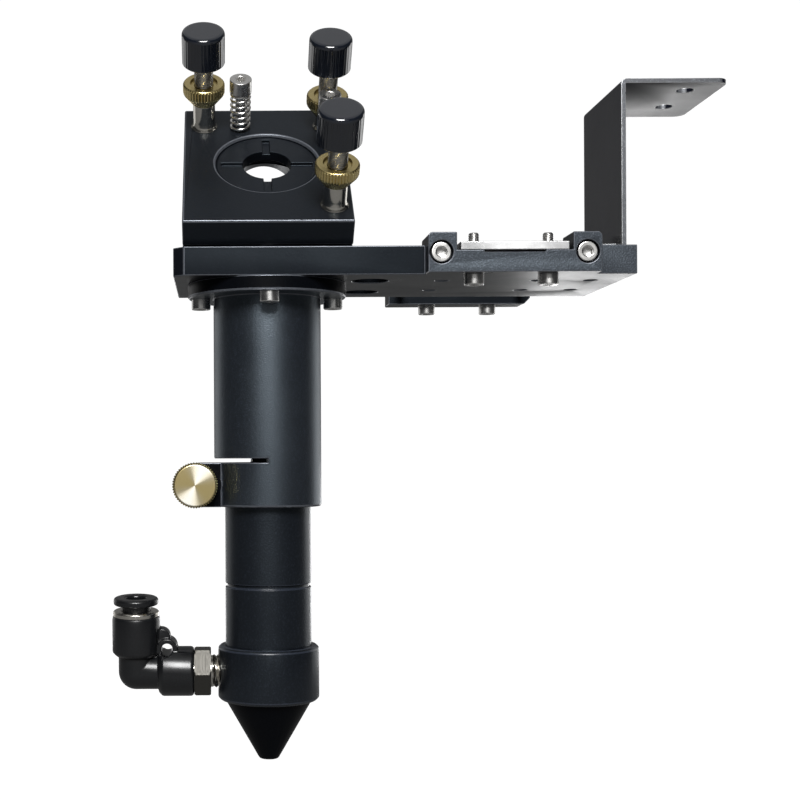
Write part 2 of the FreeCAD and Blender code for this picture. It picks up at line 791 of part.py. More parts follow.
def lens_tubes():
    """The sliding lens tube in two screwed halves, with the lens on its seat between them."""
    beam = from_beam("0", "0", "0")
    full = "lens_tube_dia / 2"
    turned("lens_tube_upper", [
        ("upper_bore / 2", "-lens_tube_top"),
        (f"{full} - 0.5", "-lens_tube_top"),
        (full, "-lens_tube_top - 0.5"),
        (full, "-joint_low"),
        ("spigot_dia / 2 + thread_gap", "-joint_low"),
        ("spigot_dia / 2 + thread_gap", "-joint_low + spigot_long + 0.5"),
        ("upper_bore / 2", "-joint_low + spigot_long + 0.5"),
    ], beam)
    foot = "-nozzle_top - socket_deep"
    turned("lens_tube_lower", [
        ("lower_bore / 2", foot),
        (full, foot),
        (full, "-joint_low - joint_wide"),
        (f"{full} - joint_deep", "-joint_low - joint_wide"),
        (f"{full} - joint_deep", "-joint_low"),
        ("spigot_dia / 2", "-joint_low"),
        ("spigot_dia / 2", "-joint_low + spigot_long"),
        ("lens_dia / 2 + lens_gap", "-joint_low + spigot_long"),
        ("lens_dia / 2 + lens_gap", "-lens_seat"),
        ("lower_bore / 2", "-lens_seat"),
    ], beam)
    turned("lens_gasket", [
        ("lower_bore / 2 + lens_gap", "-lens_seat"),
        ("lens_dia / 2", "-lens_seat"),
        ("lens_dia / 2", "-lens_seat + gasket_thick"),
        ("lower_bore / 2 + lens_gap", "-lens_seat + gasket_thick"),
    ], beam)
    flat = "-lens_seat + gasket_thick"
    disc = primitive("Cylinder", "lens_disc", from_beam("0", "0", flat),
                     Radius="lens_dia / 2", Height="lens_thick")
    ball = primitive("Sphere", "lens_ball", from_beam("0", "0", f"{flat} + lens_thick - lens_curve"),
                     Radius="lens_curve")
    lens = doc.addObject("Part::Common", "focus_lens")
    lens.Label = "focus_lens"
    lens.Base = disc
    lens.Tool = ball
    pieces.append(lens)
    drop = "(lens_curve - sqrt(lens_curve ^ 2 - retainer_bore ^ 2 / 4))"
    rest = f"{flat} + lens_thick - {drop} + thread_gap"
    turned("lens_retainer", [
        ("retainer_bore / 2", rest),
        ("lens_dia / 2 + lens_gap - thread_gap", rest),
        ("lens_dia / 2 + lens_gap - thread_gap", f"{rest} + retainer_thick"),
        ("retainer_bore / 2", f"{rest} + retainer_thick"),
    ], beam)


def air_nozzle():
    """The turned nozzle: a collar with the air port, and the hollow cone that plugs into it."""
    body = new_body("nozzle_collar", from_beam("0", "0", "0"))
    turn_solid(body, [
        ("lens_tube_dia / 2 + thread_gap", "-nozzle_top"),
        ("nozzle_dia / 2 - nozzle_edge", "-nozzle_top"),
        ("nozzle_dia / 2", "-nozzle_top - nozzle_edge"),
        ("nozzle_dia / 2", "-nozzle_low + nozzle_edge"),
        ("nozzle_dia / 2 - nozzle_edge", "-nozzle_low"),
        ("chamber_dia / 2", "-nozzle_low"),
        ("chamber_dia / 2", "-nozzle_top - socket_deep"),
        ("lens_tube_dia / 2 + thread_gap", "-nozzle_top - socket_deep"),
    ])
    port = sketch_on(body, "YZ_Plane")
    circle(port, "0", "-fitting_low", "fitting_thread + 2 * thread_gap")
    pocket(body, port, "nozzle_dia")
    turned("nozzle_tip", [
        ("throat_dia / 2", "-nozzle_low + tip_spigot_long"),
        ("chamber_dia / 2 - thread_gap", "-nozzle_low + tip_spigot_long"),
        ("chamber_dia / 2 - thread_gap", "-nozzle_low"),
        ("cone_dia / 2", "-nozzle_low"),
        ("tip_dia / 2", "-tip_low + tip_edge"),
        ("tip_dia / 2 - tip_edge", "-tip_low"),
        ("exit_dia / 2", "-tip_low"),
        ("exit_dia / 2", "-throat_low"),
        ("throat_dia / 2", "-nozzle_low"),
    ], from_beam("0", "0", "0"))


def fitting_stem():
    """The plated stem that screws into the nozzle: thread, hexagon and the elbow's pivot."""
    body = new_body("fitting_stem", from_beam("0", "0", "-fitting_low"), TO_LEFT)
    start = "chamber_dia / 2 + 0.3"
    pivot = "fitting_seat + hex_long"
    turn_solid(body, [
        ("stem_bore / 2", start),
        ("fitting_thread / 2 - 0.5", start),
        ("fitting_thread / 2", f"{start} + 0.5"),
        ("fitting_thread / 2", "fitting_seat + 1"),
        ("stem_dia / 2", "fitting_seat + 1"),
        ("stem_dia / 2", f"{pivot} + stem_long"),
        ("stem_bore / 2", f"{pivot} + stem_long"),
    ])
    hexagon = sketch_on(body, lift="fitting_seat")
    corner = "hex_flats / sqrt(3)"
    angles = [math.radians(60 * i) for i in range(6)]
    spots = [(f"{corner} * {math.sin(angle):.9f}", f"{corner} * {math.cos(angle):.9f}") for angle in angles]
    outline(hexagon, spots)
    circle(hexagon, "0", "0", "stem_bore")
    pad(body, hexagon, "hex_long")


def push_in_elbow():
    """The plastic elbow with its hose socket, leaning a little to the front."""

    def lean(thing):
        """Put a thing on the stem's line and lean it to the front."""
        put(thing, from_beam("0", "0", "-fitting_low"), FreeCAD.Rotation(X_AXIS, 1))
        bind(thing, "Placement.Rotation.Angle", "elbow_lean")

    near = "fitting_seat + hex_long + 0.1"
    far = f"{near} + barrel_long"

    def along(label, radius, start, end):
        return primitive("Cylinder", label, (f"-({start})", "0", "0"), TO_LEFT,
                         Radius=radius, Height=f"({end}) - ({start})")

    def upright(label, radius, low, high):
        return primitive("Cylinder", label, ("-leg_x", "0", low), Radius=radius, Height=f"({high}) - ({low})")

    def bevelled(label, big, small, place_low, high, turn=UPRIGHT):
        return primitive("Cone", label, place_low, turn, Radius1=small, Radius2=big, Height=high)

    solid = fused("elbow_solid", [
        along("elbow_barrel", "barrel_dia / 2", f"{near} + 0.6", f"{far} - barrel_bevel"),
        bevelled("elbow_barrel_front", "barrel_dia / 2", "barrel_dia / 2 - 0.6",
                 (f"-({near})", "0", "0"), "0.6", TO_LEFT),
        bevelled("elbow_barrel_end", "barrel_dia / 2 - barrel_bevel", "barrel_dia / 2",
                 (f"-({far} - barrel_bevel)", "0", "0"), "barrel_bevel", TO_LEFT),
        along("elbow_run", "corner_dia / 2", near, "leg_x"),
        primitive("Sphere", "elbow_corner", ("-leg_x", "0", "0"), Radius="corner_dia / 2"),
        upright("elbow_rise", "corner_dia / 2", "0", "leg_top"),
        bevelled("elbow_leg_foot", "leg_dia / 2", "leg_dia / 2 - barrel_bevel",
                 ("-leg_x", "0", "leg_low"), "barrel_bevel"),
        upright("elbow_leg", "leg_dia / 2", "leg_low + barrel_bevel", "leg_top - 1"),
        bevelled("elbow_leg_head", "leg_dia / 2 - 0.25", "leg_dia / 2", ("-leg_x", "0", "leg_top - 1"), "1"),
        primitive("Cylinder", "elbow_eye", ("-eye_x", "eye_deep / 2", "eye_high"), TO_FRONT,
                  Radius="eye_dia / 2", Height="eye_deep"),
        primitive("Box", "elbow_web", ("-leg_x", "-web_deep / 2", "0"),
                  Length="leg_x - eye_x", Width="web_deep", Height="eye_high"),
        primitive("Cylinder", "elbow_web_top", ("-eye_x - 1.6", "web_deep / 2", "eye_high + 3.2"), TO_FRONT,
                  Radius="eye_dia / 2 - 0.4", Height="web_deep"),
    ])
    hollow = fused("elbow_hollow", [
        along("elbow_pivot_bore", "stem_dia / 2 + slide_gap", f"{near} - 1", f"{near} + stem_long + 0.3"),
        along("elbow_run_bore", "stem_bore / 2", near, "leg_x"),
        upright("elbow_rise_bore", "stem_bore / 2", "-stem_bore / 4", "leg_floor + 1"),
        upright("elbow_socket", "leg_bore / 2", "leg_floor", "leg_top + 1"),
        primitive("Cylinder", "elbow_eye_hole", ("-eye_x", "eye_deep", "eye_high"), TO_FRONT,
                  Radius="eye_hole / 2", Height="2 * eye_deep"),
    ])
    elbow = cut("fitting_elbow", solid, hollow)
    elbow.Label = "fitting_elbow"
    lean(elbow)
    pieces.append(elbow)

    def on_leg(label, corners):
        """A turning on the leg's line, whose half section is shifted out to the leg."""
        piece = new_body(label)
        lean(piece)
        shifted = sketch_on(piece, "XZ_Plane")
        outline(shifted, [(f"-leg_x + ({x})", z) for x, z in corners])
        axis_line = shifted.addGeometry(
            Part.LineSegment(FreeCAD.Vector(0, 0, 0), FreeCAD.Vector(0, 1, 0)), True)
        tie_point(shifted, axis_line, 1, "-leg_x", "0")
        tie_point(shifted, axis_line, 2, "-leg_x", "1")
        feature = piece.newObject("PartDesign::Revolution", f"{label}_turning")
        feature.Profile = shifted
        feature.ReferenceAxis = (shifted, ["Axis0"])
        feature.Angle = 360
        doc.recompute()

    bore = "collet_dia / 2 + slide_gap"
    fit = "leg_bore / 2 - thread_gap"
    on_leg("fitting_ring", [
        (bore, "sleeve_low"),
        (fit, "sleeve_low"),
        (fit, "leg_top"),
        ("ring_cap_dia / 2", "leg_top"),
        ("ring_cap_dia / 2", "leg_top + ring_cap_high - 0.4"),
        ("ring_cap_dia / 2 - 0.4", "leg_top + ring_cap_high"),
        (bore, "leg_top + ring_cap_high"),
    ])
    under = "collet_top - collet_flange_thick"
    on_leg("release_ring", [
        ("hose_bore / 2", "collet_low"),
        ("collet_dia / 2", "collet_low"),
        ("collet_dia / 2", under),
        ("collet_flange_dia / 2 - 0.4", under),
        ("collet_flange_dia / 2", f"{under} + 0.4"),
        ("collet_flange_dia / 2", "collet_top - 0.5"),
        ("collet_flange_dia / 2 - 0.5", "collet_top"),
        ("hose_bore / 2 + collet_mouth", "collet_top"),
        ("hose_bore / 2", "collet_top - collet_mouth"),
    ])
    on_leg("grab_ring", [
        ("hose_bore / 2", "grip_low"),
        (fit, "grip_low"),
        (fit, "grip_low + grip_thick"),
        ("hose_bore / 2", "grip_low + grip_thick"),
    ])
    on_leg("hose_seal", [
        ("hose_bore / 2 - 0.1", "leg_floor + 0.1"),
        (fit, "leg_floor + 0.1"),
        (fit, "leg_floor + 0.1 + seal_thick"),
        ("hose_bore / 2 - 0.1", "leg_floor + 0.1 + seal_thick"),
    ])


def mirror_block():
    """The wedge that carries the mirror plate, bored for the level and the downward beam."""
    body = new_body("mirror_block", from_beam("0", "0", "0"))
    slope = "beam_high - (mirror_plate_thick + tilt_gap - mirror_depth) * sqrt(2)"
    toe = f"plate_thick + block_toe - ({slope})"
    side = sketch_on(body, "YZ_Plane", "-mirror_plate_left")
    outline(side, [
        (toe, PLATE_TOP),
        ("block_back", PLATE_TOP),
        ("block_back", f"block_back + {slope}"),
        (toe, "plate_thick + block_toe"),
    ])
    pad(body, side, "mirror_plate_left + mirror_plate_right")
    down = sketch_on(body)
    circle(down, "0", "0", "block_bore")
    pocket(body, down, forward=True)
    level = sketch_on(body, "XZ_Plane")
    circle(level, "0", "beam_high", "block_bore")
    pocket(body, level)
    screws = sketch_on(body)
    for x, y in BLOCK_SCREWS:
        circle(screws, x, y, TAPPED)
    pocket(body, screws, "well_floor + block_screw_long + 0.5", forward=True)
    anchors = sketch_on(body)
    anchors.AttachmentOffset = FreeCAD.Placement(FreeCAD.Vector(), ON_SLOPE)
    bind(anchors, "AttachmentOffset.Base.y", "-mirror_depth / sqrt(2)")
    bind(anchors, "AttachmentOffset.Base.z", "beam_high + mirror_depth / sqrt(2)")
    for side_by, up in SPRINGS.values():
        circle(anchors, side_by, up, TAPPED)
    pocket(body, anchors, "spring_screw_long - spring_long + 0.3")
    places = [from_beam(x, y, "well_floor") for x, y in BLOCK_SCREWS]
    screw_group("block_screws", "block_screw_long", places, HEAD_DOWN)


def mirror_plate():
    """The tilting plate: a stepped mirror seat, three bush holes and two spring screw holes."""
    body = new_body("mirror_plate", on_slope("0", "0"), ON_SLOPE)
    face = sketch_on(body)
    rectangle(face, "-mirror_plate_left", "mirror_plate_right",
              "-mirror_plate_long / 2", "mirror_plate_long / 2")
    pad(body, face, "mirror_plate_thick", backward=True)
    dress(body, "Chamfer", "Size", "mirror_plate_edge", lambda edge, middle: abs(middle.z) < 1e-6)
    steps = (
        ("ring_dia + 2 * thread_gap", "ring_sunk + ring_thick"),
        ("mirror_dia", "mirror_depth"),
        ("mirror_view", None),
    )
    for diameter, depth in steps:
        step = sketch_on(body)
        circle(step, "0", "0", diameter)
        pocket(body, step, depth)
    recess = SIZES["ring_dia"] / 2 + SIZES["thread_gap"]
    dress(body, "Chamfer", "Size", "ring_lip", lambda edge, middle: abs(middle.z) < 1e-6
          and is_round(edge) and abs(edge.Curve.Radius - recess) < 1e-6)
    holes = sketch_on(body)
    for side_by, up in ADJUSTERS.values():
        circle(holes, side_by, up, "bush_dia + 0.04")
    for side_by, up in SPRINGS.values():
        circle(holes, side_by, up, "spring_screw_clear")
    pocket(body, holes)

    ring = new_body("mirror_retainer", on_slope("0", "0"), ON_SLOPE)
    top = "-ring_sunk"
    turn_solid(ring, [
        ("ring_hole / 2", f"{top} - ring_thick"),
        ("ring_dia / 2", f"{top} - ring_thick"),
        ("ring_dia / 2", f"{top} - 0.4"),
        ("ring_dia / 2 - 0.4", top),
        ("ring_hole / 2", top),
    ])
    slot = sketch_on(ring, lift=top)
    rectangle(slot, "0", "ring_slot_end", "-ring_slot_wide / 2", "ring_slot_wide / 2")
    around(ring, pocket(ring, slot, "ring_slot_deep"), "4")


def adjusters():
    """Three fine screws in plated bushes, each with a lock nut and a fluted cap."""
    for name, (side_by, up) in ADJUSTERS.items():
        foot = on_slope(side_by, up)
        bush_bore = "shaft_dia / 2 + slide_gap"
        ring_low = f"nut_{name}_low"
        bush_high = f"{ring_low} - nut_taper"
        cap_low = f"cap_{name}_low"
        turned(f"adjuster_bush_{name}", [
            (bush_bore, "-mirror_plate_thick"),
            ("bush_dia / 2", "-mirror_plate_thick"),
            ("bush_dia / 2", "0"),
            ("bush_flare / 2", "0"),
            ("bush_flare / 2", "0.3"),
            ("bush_dia / 2", "flare_high + 0.3"),
            ("bush_dia / 2", bush_high),
            (bush_bore, bush_high),
        ], foot, ON_SLOPE)
        tip = "-mirror_plate_thick - tilt_gap + 0.02"
        screw = new_body(f"adjuster_screw_{name}", foot, ON_SLOPE)
        turn_solid(screw, [
            ("0", tip),
            ("shaft_dia / 6", f"{tip} + 0.1"),
            ("shaft_dia / 3", f"{tip} + 0.5"),
            ("shaft_dia / 2", f"{tip} + 1.6"),
            ("shaft_dia / 2", f"{cap_low} + cap_bore_deep"),
            ("0", f"{cap_low} + cap_bore_deep"),
        ])
        nut = new_body(f"lock_nut_{name}", foot, ON_SLOPE)
        turn_solid(nut, [
            (bush_bore, bush_high),
            ("nut_neck_dia / 2", bush_high),
            ("nut_neck_dia / 2 + nut_taper", ring_low),
            ("nut_dia / 2 - nut_bevel", ring_low),
            ("nut_dia / 2", f"{ring_low} + nut_bevel"),
            ("nut_dia / 2", f"{ring_low} + nut_thick - nut_bevel"),
            ("nut_dia / 2 - nut_bevel", f"{ring_low} + nut_thick"),
            (bush_bore, f"{ring_low} + nut_thick"),
        ])
        notch_rim(nut, "nut_dia", "groove_deep", "nut_grooves", f"{ring_low} - 0.5")
        cap = new_body(f"adjuster_cap_{name}", foot, ON_SLOPE)
        top = f"{cap_low} + cap_high"
        turn_solid(cap, [
            ("shaft_dia / 2 + 0.02", cap_low),
            ("cap_dia / 2 - 0.4", cap_low),
            ("cap_dia / 2", f"{cap_low} + 0.4"),
            ("cap_dia / 2", f"{top} - cap_round"),
            ("cap_dia / 2 - cap_round * 0.3", f"{top} - cap_round * 0.3"),
            ("cap_dia / 2 - cap_round", top),
            ("0", top),
            ("0", f"{cap_low} + cap_bore_deep"),
            ("shaft_dia / 2 + 0.02", f"{cap_low} + cap_bore_deep"),
        ])
        notch_rim(cap, "cap_dia", "flute_deep", "cap_flutes", f"{cap_low} - 1")


def plate_springs():
    """Two socket screws through the mirror plate, each with a coil spring under its head."""
    places = [on_slope(side_by, up, "spring_long") for side_by, up in SPRINGS.values()]
    screw_group("spring_screws", "spring_screw_long", places, ON_SLOPE,
                ("spring_head_dia", "spring_head_high"))
    coil_radius = "(spring_dia - wire_dia) / 2"
    coil_high = "spring_long - wire_dia - 2 * spring_gap"
    for name, (side_by, up) in SPRINGS.items():
        line = doc.addObject("Part::Helix", f"spring_line_{name}")
        bind(line, "Pitch", f"({coil_high}) / spring_turns")
        bind(line, "Height", coil_high)
        bind(line, "Radius", coil_radius)
        wire = doc.addObject("Part::Circle", f"spring_wire_{name}")
        bind(wire, "Radius", "wire_dia / 2")
        put(wire, (coil_radius, "0", "0"), TO_FRONT)
        coil = doc.addObject("Part::Sweep", f"plate_spring_{name}")
        coil.Label = f"plate_spring_{name}"
        coil.Sections = [wire]
        coil.Spine = (line, ["Edge1"])
        coil.Solid = True
        coil.Frenet = True
        put(coil, on_slope(side_by, up, "wire_dia / 2 + spring_gap"), ON_SLOPE)
        pieces.append(coil)


def write_pieces():
    """Check every object, then write each piece to its own file."""
    doc.recompute()
    for thing in doc.Objects:
        if "Invalid" in thing.State or "Error" in thing.State:
            raise RuntimeError(f"{thing.Label} failed: {thing.State}")
    os.makedirs("parts", exist_ok=True)
    for piece in pieces:
        shape = piece.Shape
        if shape.isNull() or not shape.isValid() or not shape.Solids:
            raise RuntimeError(f"{piece.Label} has no valid solid")
        shape.exportStep(f"parts/{piece.Label}.step")
    print(len(pieces), "pieces written")


carriage_plate()
belt_clamps()
cable_bracket()
outer_tube()
clamp_screw()
lens_tubes()
air_nozzle()
fitting_stem()
push_in_elbow()
mirror_block()
mirror_plate()
adjusters()
plate_springs()
write_pieces()
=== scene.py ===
"""Looks of the laser cutting head: black anodised plates and tubes, brass and nickel adjusters.

Lengths are millimetres in the row's frame. Properties, milled edges, lights and meshes are in metres.
"""
import json
import math

import bmesh
import bpy
import numpy as np
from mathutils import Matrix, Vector


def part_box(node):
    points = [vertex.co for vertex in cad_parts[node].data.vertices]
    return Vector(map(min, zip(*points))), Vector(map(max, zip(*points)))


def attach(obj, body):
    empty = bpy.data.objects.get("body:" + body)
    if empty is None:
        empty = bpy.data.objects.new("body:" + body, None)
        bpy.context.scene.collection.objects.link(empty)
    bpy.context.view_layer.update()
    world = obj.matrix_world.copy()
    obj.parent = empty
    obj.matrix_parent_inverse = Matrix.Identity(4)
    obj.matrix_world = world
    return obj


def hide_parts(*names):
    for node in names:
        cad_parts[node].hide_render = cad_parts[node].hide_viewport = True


bl_info = {
    "name": "Laser cutting head",
    "version": (1, 0, 0),
    "blender": (4, 5, 0),
    "location": "3D View > Sidebar > Laser head",
    "description": "Dresses the laser cutting head and lights it",
    "category": "Object",
}

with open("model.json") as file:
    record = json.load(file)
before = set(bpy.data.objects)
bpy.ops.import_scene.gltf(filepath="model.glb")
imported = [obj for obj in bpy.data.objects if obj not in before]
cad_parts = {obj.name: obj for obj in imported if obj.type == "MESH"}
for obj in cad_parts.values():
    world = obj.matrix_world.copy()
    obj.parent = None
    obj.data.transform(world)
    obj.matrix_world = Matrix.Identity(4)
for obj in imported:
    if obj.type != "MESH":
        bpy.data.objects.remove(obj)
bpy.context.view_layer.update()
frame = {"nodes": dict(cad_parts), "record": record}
BODY_OF = {node: body for body, nodes in frame["record"]["behaviour"]["bodies"].items() for node in nodes}
MM = 0.001
X = np.array([1.0, 0.0, 0.0])
Y = np.array([0.0, 1.0, 0.0])
Z = np.array([0.0, 0.0, 1.0])
SLOPE_OUT = (Z - Y) / math.sqrt(2)


def box_of(node):
    """Low corner, high corner and middle of a CAD node, in millimetres."""
    low, high = (np.array(corner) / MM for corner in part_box(node))
    return low, high, (low + high) / 2


def points_of(node):
    """Every point of a CAD node, in millimetres."""
    mesh = frame["nodes"][node].data
    points = np.empty(len(mesh.vertices) * 3)
    mesh.vertices.foreach_get("co", points)
    return points.reshape(-1, 3) / MM


def reach_of(node, out):
    """Lowest and highest place of a CAD node along a direction, in millimetres."""
    along = points_of(node) @ out
    return np.array([along.min(), along.max()])


# Half the mirror plate's thickness and the tube flange's radius, which place the mirror and the beam.
PLATE_HALF_THICK = 4.0
FLANGE_RADIUS = 23.0
MIRROR_FACE = box_of("mirror_plate")[2] + PLATE_HALF_THICK * SLOPE_OUT
BEAM = box_of("outer_tube")[1] - FLANGE_RADIUS * (X + Y)

# A corner of at least this is broken, a bend below this is flat, and points this near are one.
CORNER = math.radians(35)
FLAT = math.radians(0.4)
SAME_POINT = 2e-6
# A face looks a way when this much of its normal lies along it.
FACING = 0.9

# The outer tube: a height just under its flange's rim, how far left of the beam its lugs start, and
# heights just beside the corners of its slit and lugs.
# The flange's rim and the lugs take a darker copy of the black anodising, a painted shade.
RIM_LOW = -4.3
LUG_START = 15.8
TUBE_LEVELS = (-8, -30, -49.3, -50, -52.2, -52.9, -56, -60, -63.6)

# Socket screws: shank radius, socket across flats, and each head's radius and height. Then where
# each screw's head points, and how much of its end is threaded.
SHANK = 1.5
SOCKET_ACROSS = 2.5
M3_HEAD = (2.75, 3.0)
SPRING_HEAD = (3.2, 4.0)
SCREWS = {
    "flange_screws": (-Z, 6, M3_HEAD),
    "belt_clamp_screws": (-Z, 8, M3_HEAD),
    "rear_clamp_screws": (-Z, 8, M3_HEAD),
    "block_screws": (-Z, 4, M3_HEAD),
    "bracket_screws": (Z, 5, M3_HEAD),
    "spring_screws": (SLOPE_OUT, 5, SPRING_HEAD),
    "tension_screw_left": (-Y, 40, M3_HEAD),
    "tension_screw_right": (-Y, 40, M3_HEAD),
}

# Adjusters: radii of the fine screw, the bush, the lock nut and the cap, and of their bores.
SHAFT = 2.75
NUT_BORE = 2.82
BUSH = 3.25
NUT = 6.1
CAP_BORE = 2.78
CAP = 6.15
FINE_PITCH = 0.5
FINE_TURNS = 72
# A lock nut stands this far above its bush, so that they don't touch.
NUT_GAP = 0.04

# The springs' top above the mirror plate, and each spring's rise off the plate, which keeps it
# clear where the plate tilts towards it.
SPRING_TOP = 12.15
SPRING_RISES = {"1": 0.15, "2": 0.38}

# Each light's place and size in metres and its power in watts. All of them aim at the middle.
HEAD_MIDDLE = (-0.02, 0.0, -0.02)
LIGHTS = {
    "Front panel": ((-0.05, -1.3, 0.30), (1.3, 0.75), 0.95),
    "Top panel": ((-0.05, 0.0, 1.0), (1.4, 1.4), 1.9),
    "Key light": ((-0.07, -0.95, 0.60), (0.42, 0.42), 16.0),
    "Low back light": ((0.44, 1.22, -0.2), (0.26, 0.22), 0.8),
    "Low left light": ((-0.35, 1.2, -0.25), (0.3, 0.3), 0.8),
    "Left rim light": ((-0.95, 1.0, 0.05), (0.8, 0.8), 1.1),
    "Right rim light": ((0.95, 0.9, 0.05), (0.8, 0.8), 2.1),
}


class HeadShapes(bpy.types.PropertyGroup):
    """Sizes that only the looks use."""

    edge: bpy.props.FloatProperty(
        name="Plate edge", description="Width of the milled plates' broken edges", default=0.00028,
        min=0.00005, max=0.0006, unit="LENGTH")
    cap_flutes: bpy.props.IntProperty(
        name="Cap flutes", description="Fine flutes round each black cap", default=36, min=12, max=60)
    cap_round: bpy.props.FloatProperty(
        name="Cap round", description="Round of each cap's top edge", default=0.0013, min=0.0002, max=0.003,
        unit="LENGTH")
    flute_deep: bpy.props.FloatProperty(
        name="Flute depth", description="Depth of the caps' flutes", default=0.00005, min=0.0, max=0.0003,
        unit="LENGTH")
    nut_ridges: bpy.props.IntProperty(
        name="Nut ridges", description="Straight knurls round each lock nut", default=40, min=16, max=72)
    knob_ridges: bpy.props.IntProperty(
        name="Knob ridges", description="Straight knurls round the clamp knob", default=52, min=16, max=80)
    spring_turns: bpy.props.IntProperty(
        name="Spring turns", description="Coils of each plate spring", default=7, min=3, max=12)
    thread_pitch: bpy.props.FloatProperty(
        name="Thread pitch", description="Pitch of the socket screws", default=0.0005, min=0.0003,
        max=0.001, unit="LENGTH")


class HeadColours(bpy.types.PropertyGroup):
    """Colours of the finishes."""

    anodised: bpy.props.FloatVectorProperty(
        name="Anodised", description="Black anodised faces", default=(0.0045, 0.0055, 0.0078),
        subtype="COLOR", size=3, min=0.0, max=1.0)
    broken_edge: bpy.props.FloatVectorProperty(
        name="Broken edge", description="Narrow edges, where the black is thin", default=(0.12, 0.13, 0.15),
        subtype="COLOR", size=3, min=0.0, max=1.0)
    brass: bpy.props.FloatVectorProperty(
        name="Brass", description="Lock nuts and clamp knob", default=(0.74, 0.60, 0.28),
        subtype="COLOR", size=3, min=0.0, max=1.0)
    nickel: bpy.props.FloatVectorProperty(
        name="Nickel", description="Bushes, shafts and the fitting's stem", default=(0.78, 0.75, 0.68),
        subtype="COLOR", size=3, min=0.0, max=1.0)
    steel: bpy.props.FloatVectorProperty(
        name="Steel", description="Socket screws", default=(0.75, 0.74, 0.72),
        subtype="COLOR", size=3, min=0.0, max=1.0)
    cap: bpy.props.FloatVectorProperty(
        name="Caps", description="Gloss black caps", default=(0.006, 0.008, 0.013),
        subtype="COLOR", size=3, min=0.0, max=1.0)
    plastic: bpy.props.FloatVectorProperty(
        name="Fitting", description="Black plastic of the air fitting", default=(0.006, 0.0065, 0.0075),
        subtype="COLOR", size=3, min=0.0, max=1.0)


class HeadStage(bpy.types.PropertyGroup):
    """Camera, floor and lights."""

    eye: bpy.props.FloatVectorProperty(
        name="Camera place", description="Camera place in the row's frame",
        default=(-0.078, -0.38865, -0.049), subtype="TRANSLATION", unit="LENGTH", size=3)
    lens: bpy.props.FloatProperty(
        name="Lens", description="Focal length on a 36 mm sensor, in millimetres", default=59.4, min=20,
        max=200, unit="CAMERA")
    shift: bpy.props.FloatVectorProperty(
        name="Shift", description="Camera shift that puts the object where the photograph has it",
        default=(0.2276, 0.0666), size=2)
    roll: bpy.props.FloatProperty(
        name="Roll", description="Camera roll about its line of sight", default=math.radians(0.27),
        subtype="ANGLE", unit="ROTATION")
    floor: bpy.props.FloatProperty(
        name="Floor height", description="Height of the pale floor", default=-0.3, unit="LENGTH")
    floor_glow: bpy.props.FloatProperty(
        name="Floor glow", description="Light that the pale floor gives back to the head", default=0.12,
        min=0, max=2)
    soft_light: bpy.props.FloatProperty(
        name="Soft light", description="Strength of the light from the room", default=0.03, min=0, max=3)


def unit(vector):
    """The vector at length one."""
    vector = np.asarray(vector, float)
    return vector / np.linalg.norm(vector)


def soften(corners, size, steps=5, closed=True):
    """Round a profile's corners.

    Each corner p becomes the curve (1-t)^2 a + 2t(1-t) p + t^2 b, where a and b lie `size` from p
    on its two sides. A holding point just outside each end keeps the flats flat when shaded.
    """
    p = np.asarray(corners, float)
    size = np.broadcast_to(np.asarray(size, float), len(p))
    back, ahead = np.roll(p, 1, 0) - p, np.roll(p, -1, 0) - p
    back_long, ahead_long = np.linalg.norm(back, axis=1), np.linalg.norm(ahead, axis=1)
    back, ahead = back / back_long[:, None], ahead / ahead_long[:, None]
    reach = np.minimum(np.maximum(size, 0.01), 0.4 * np.minimum(back_long, ahead_long))[:, None]
    hold = np.minimum(0.03, 0.1 * np.minimum(back_long, ahead_long))[:, None]
    a, b = p + back * reach, p + ahead * reach
    t = np.linspace(0, 1, steps)[None, :, None]
    arc = (1 - t) ** 2 * a[:, None] + 2 * t * (1 - t) * p[:, None] + t ** 2 * b[:, None]
    rows = np.concatenate([(a + back * hold)[:, None], arc, (b + ahead * hold)[:, None]], axis=1)
    if closed:
        return rows.reshape(-1, 2)
    return np.concatenate([p[:1], rows[1:-1].reshape(-1, 2), p[-1:]])


def lathe(profile, turns=96):
    """A surface of revolution: the point (r, z) of the profile at angle a is (r cos a, r sin a, z)."""
    profile = np.asarray(profile, float)
    angle = np.linspace(0, math.tau, turns, endpoint=False)
    radius, height = profile[:, :1], profile[:, 1:2]
    return np.stack([radius * np.cos(angle), radius * np.sin(angle), height + 0 * angle], axis=-1)


def ridged(profile, count, deep, low, high, reach, per_ridge=8):
    """A turned surface with straight ridges between two heights.

    The radius loses deep x |cos(count a / 2)|^3 wherever it lies within `reach` of the rim and
    between the heights, so the ridges are flat topped with narrow grooves.
    """
    profile = np.asarray(profile, float)
    points = lathe(profile, count * per_ridge)
    angle = np.linspace(0, math.tau, count * per_ridge, endpoint=False)
    rim = profile[:, 0].max()
    level = (profile[:, 1] > low) & (profile[:, 1] < high) & (profile[:, 0] > rim - reach)
    groove = np.abs(np.cos(count * angle / 2)) ** 3
    scale = 1 - level[:, None] * groove * deep / rim
    points[..., :2] *= scale[..., None]
    return points


def hexagonal(points, across, rows):
    """Press rows of a turned surface into a hexagon.

    A hexagon's radius at angle a is (across / 2) / cos(a mod 60 degrees, measured from a flat).
    Each radius of the rows becomes the smaller of that and its own, so a chamfered nut has arcs.
    """
    radius = np.hypot(points[rows, :, 0], points[rows, :, 1])
    angle = np.arctan2(points[rows, :, 1], points[rows, :, 0])
    from_flat = (angle + math.pi / 6) % (math.pi / 3) - math.pi / 6
    flat = across / 2 / np.cos(from_flat)
    points[rows, :, :2] *= (np.minimum(flat, radius) / np.maximum(radius, 1e-9))[..., None]
    return points


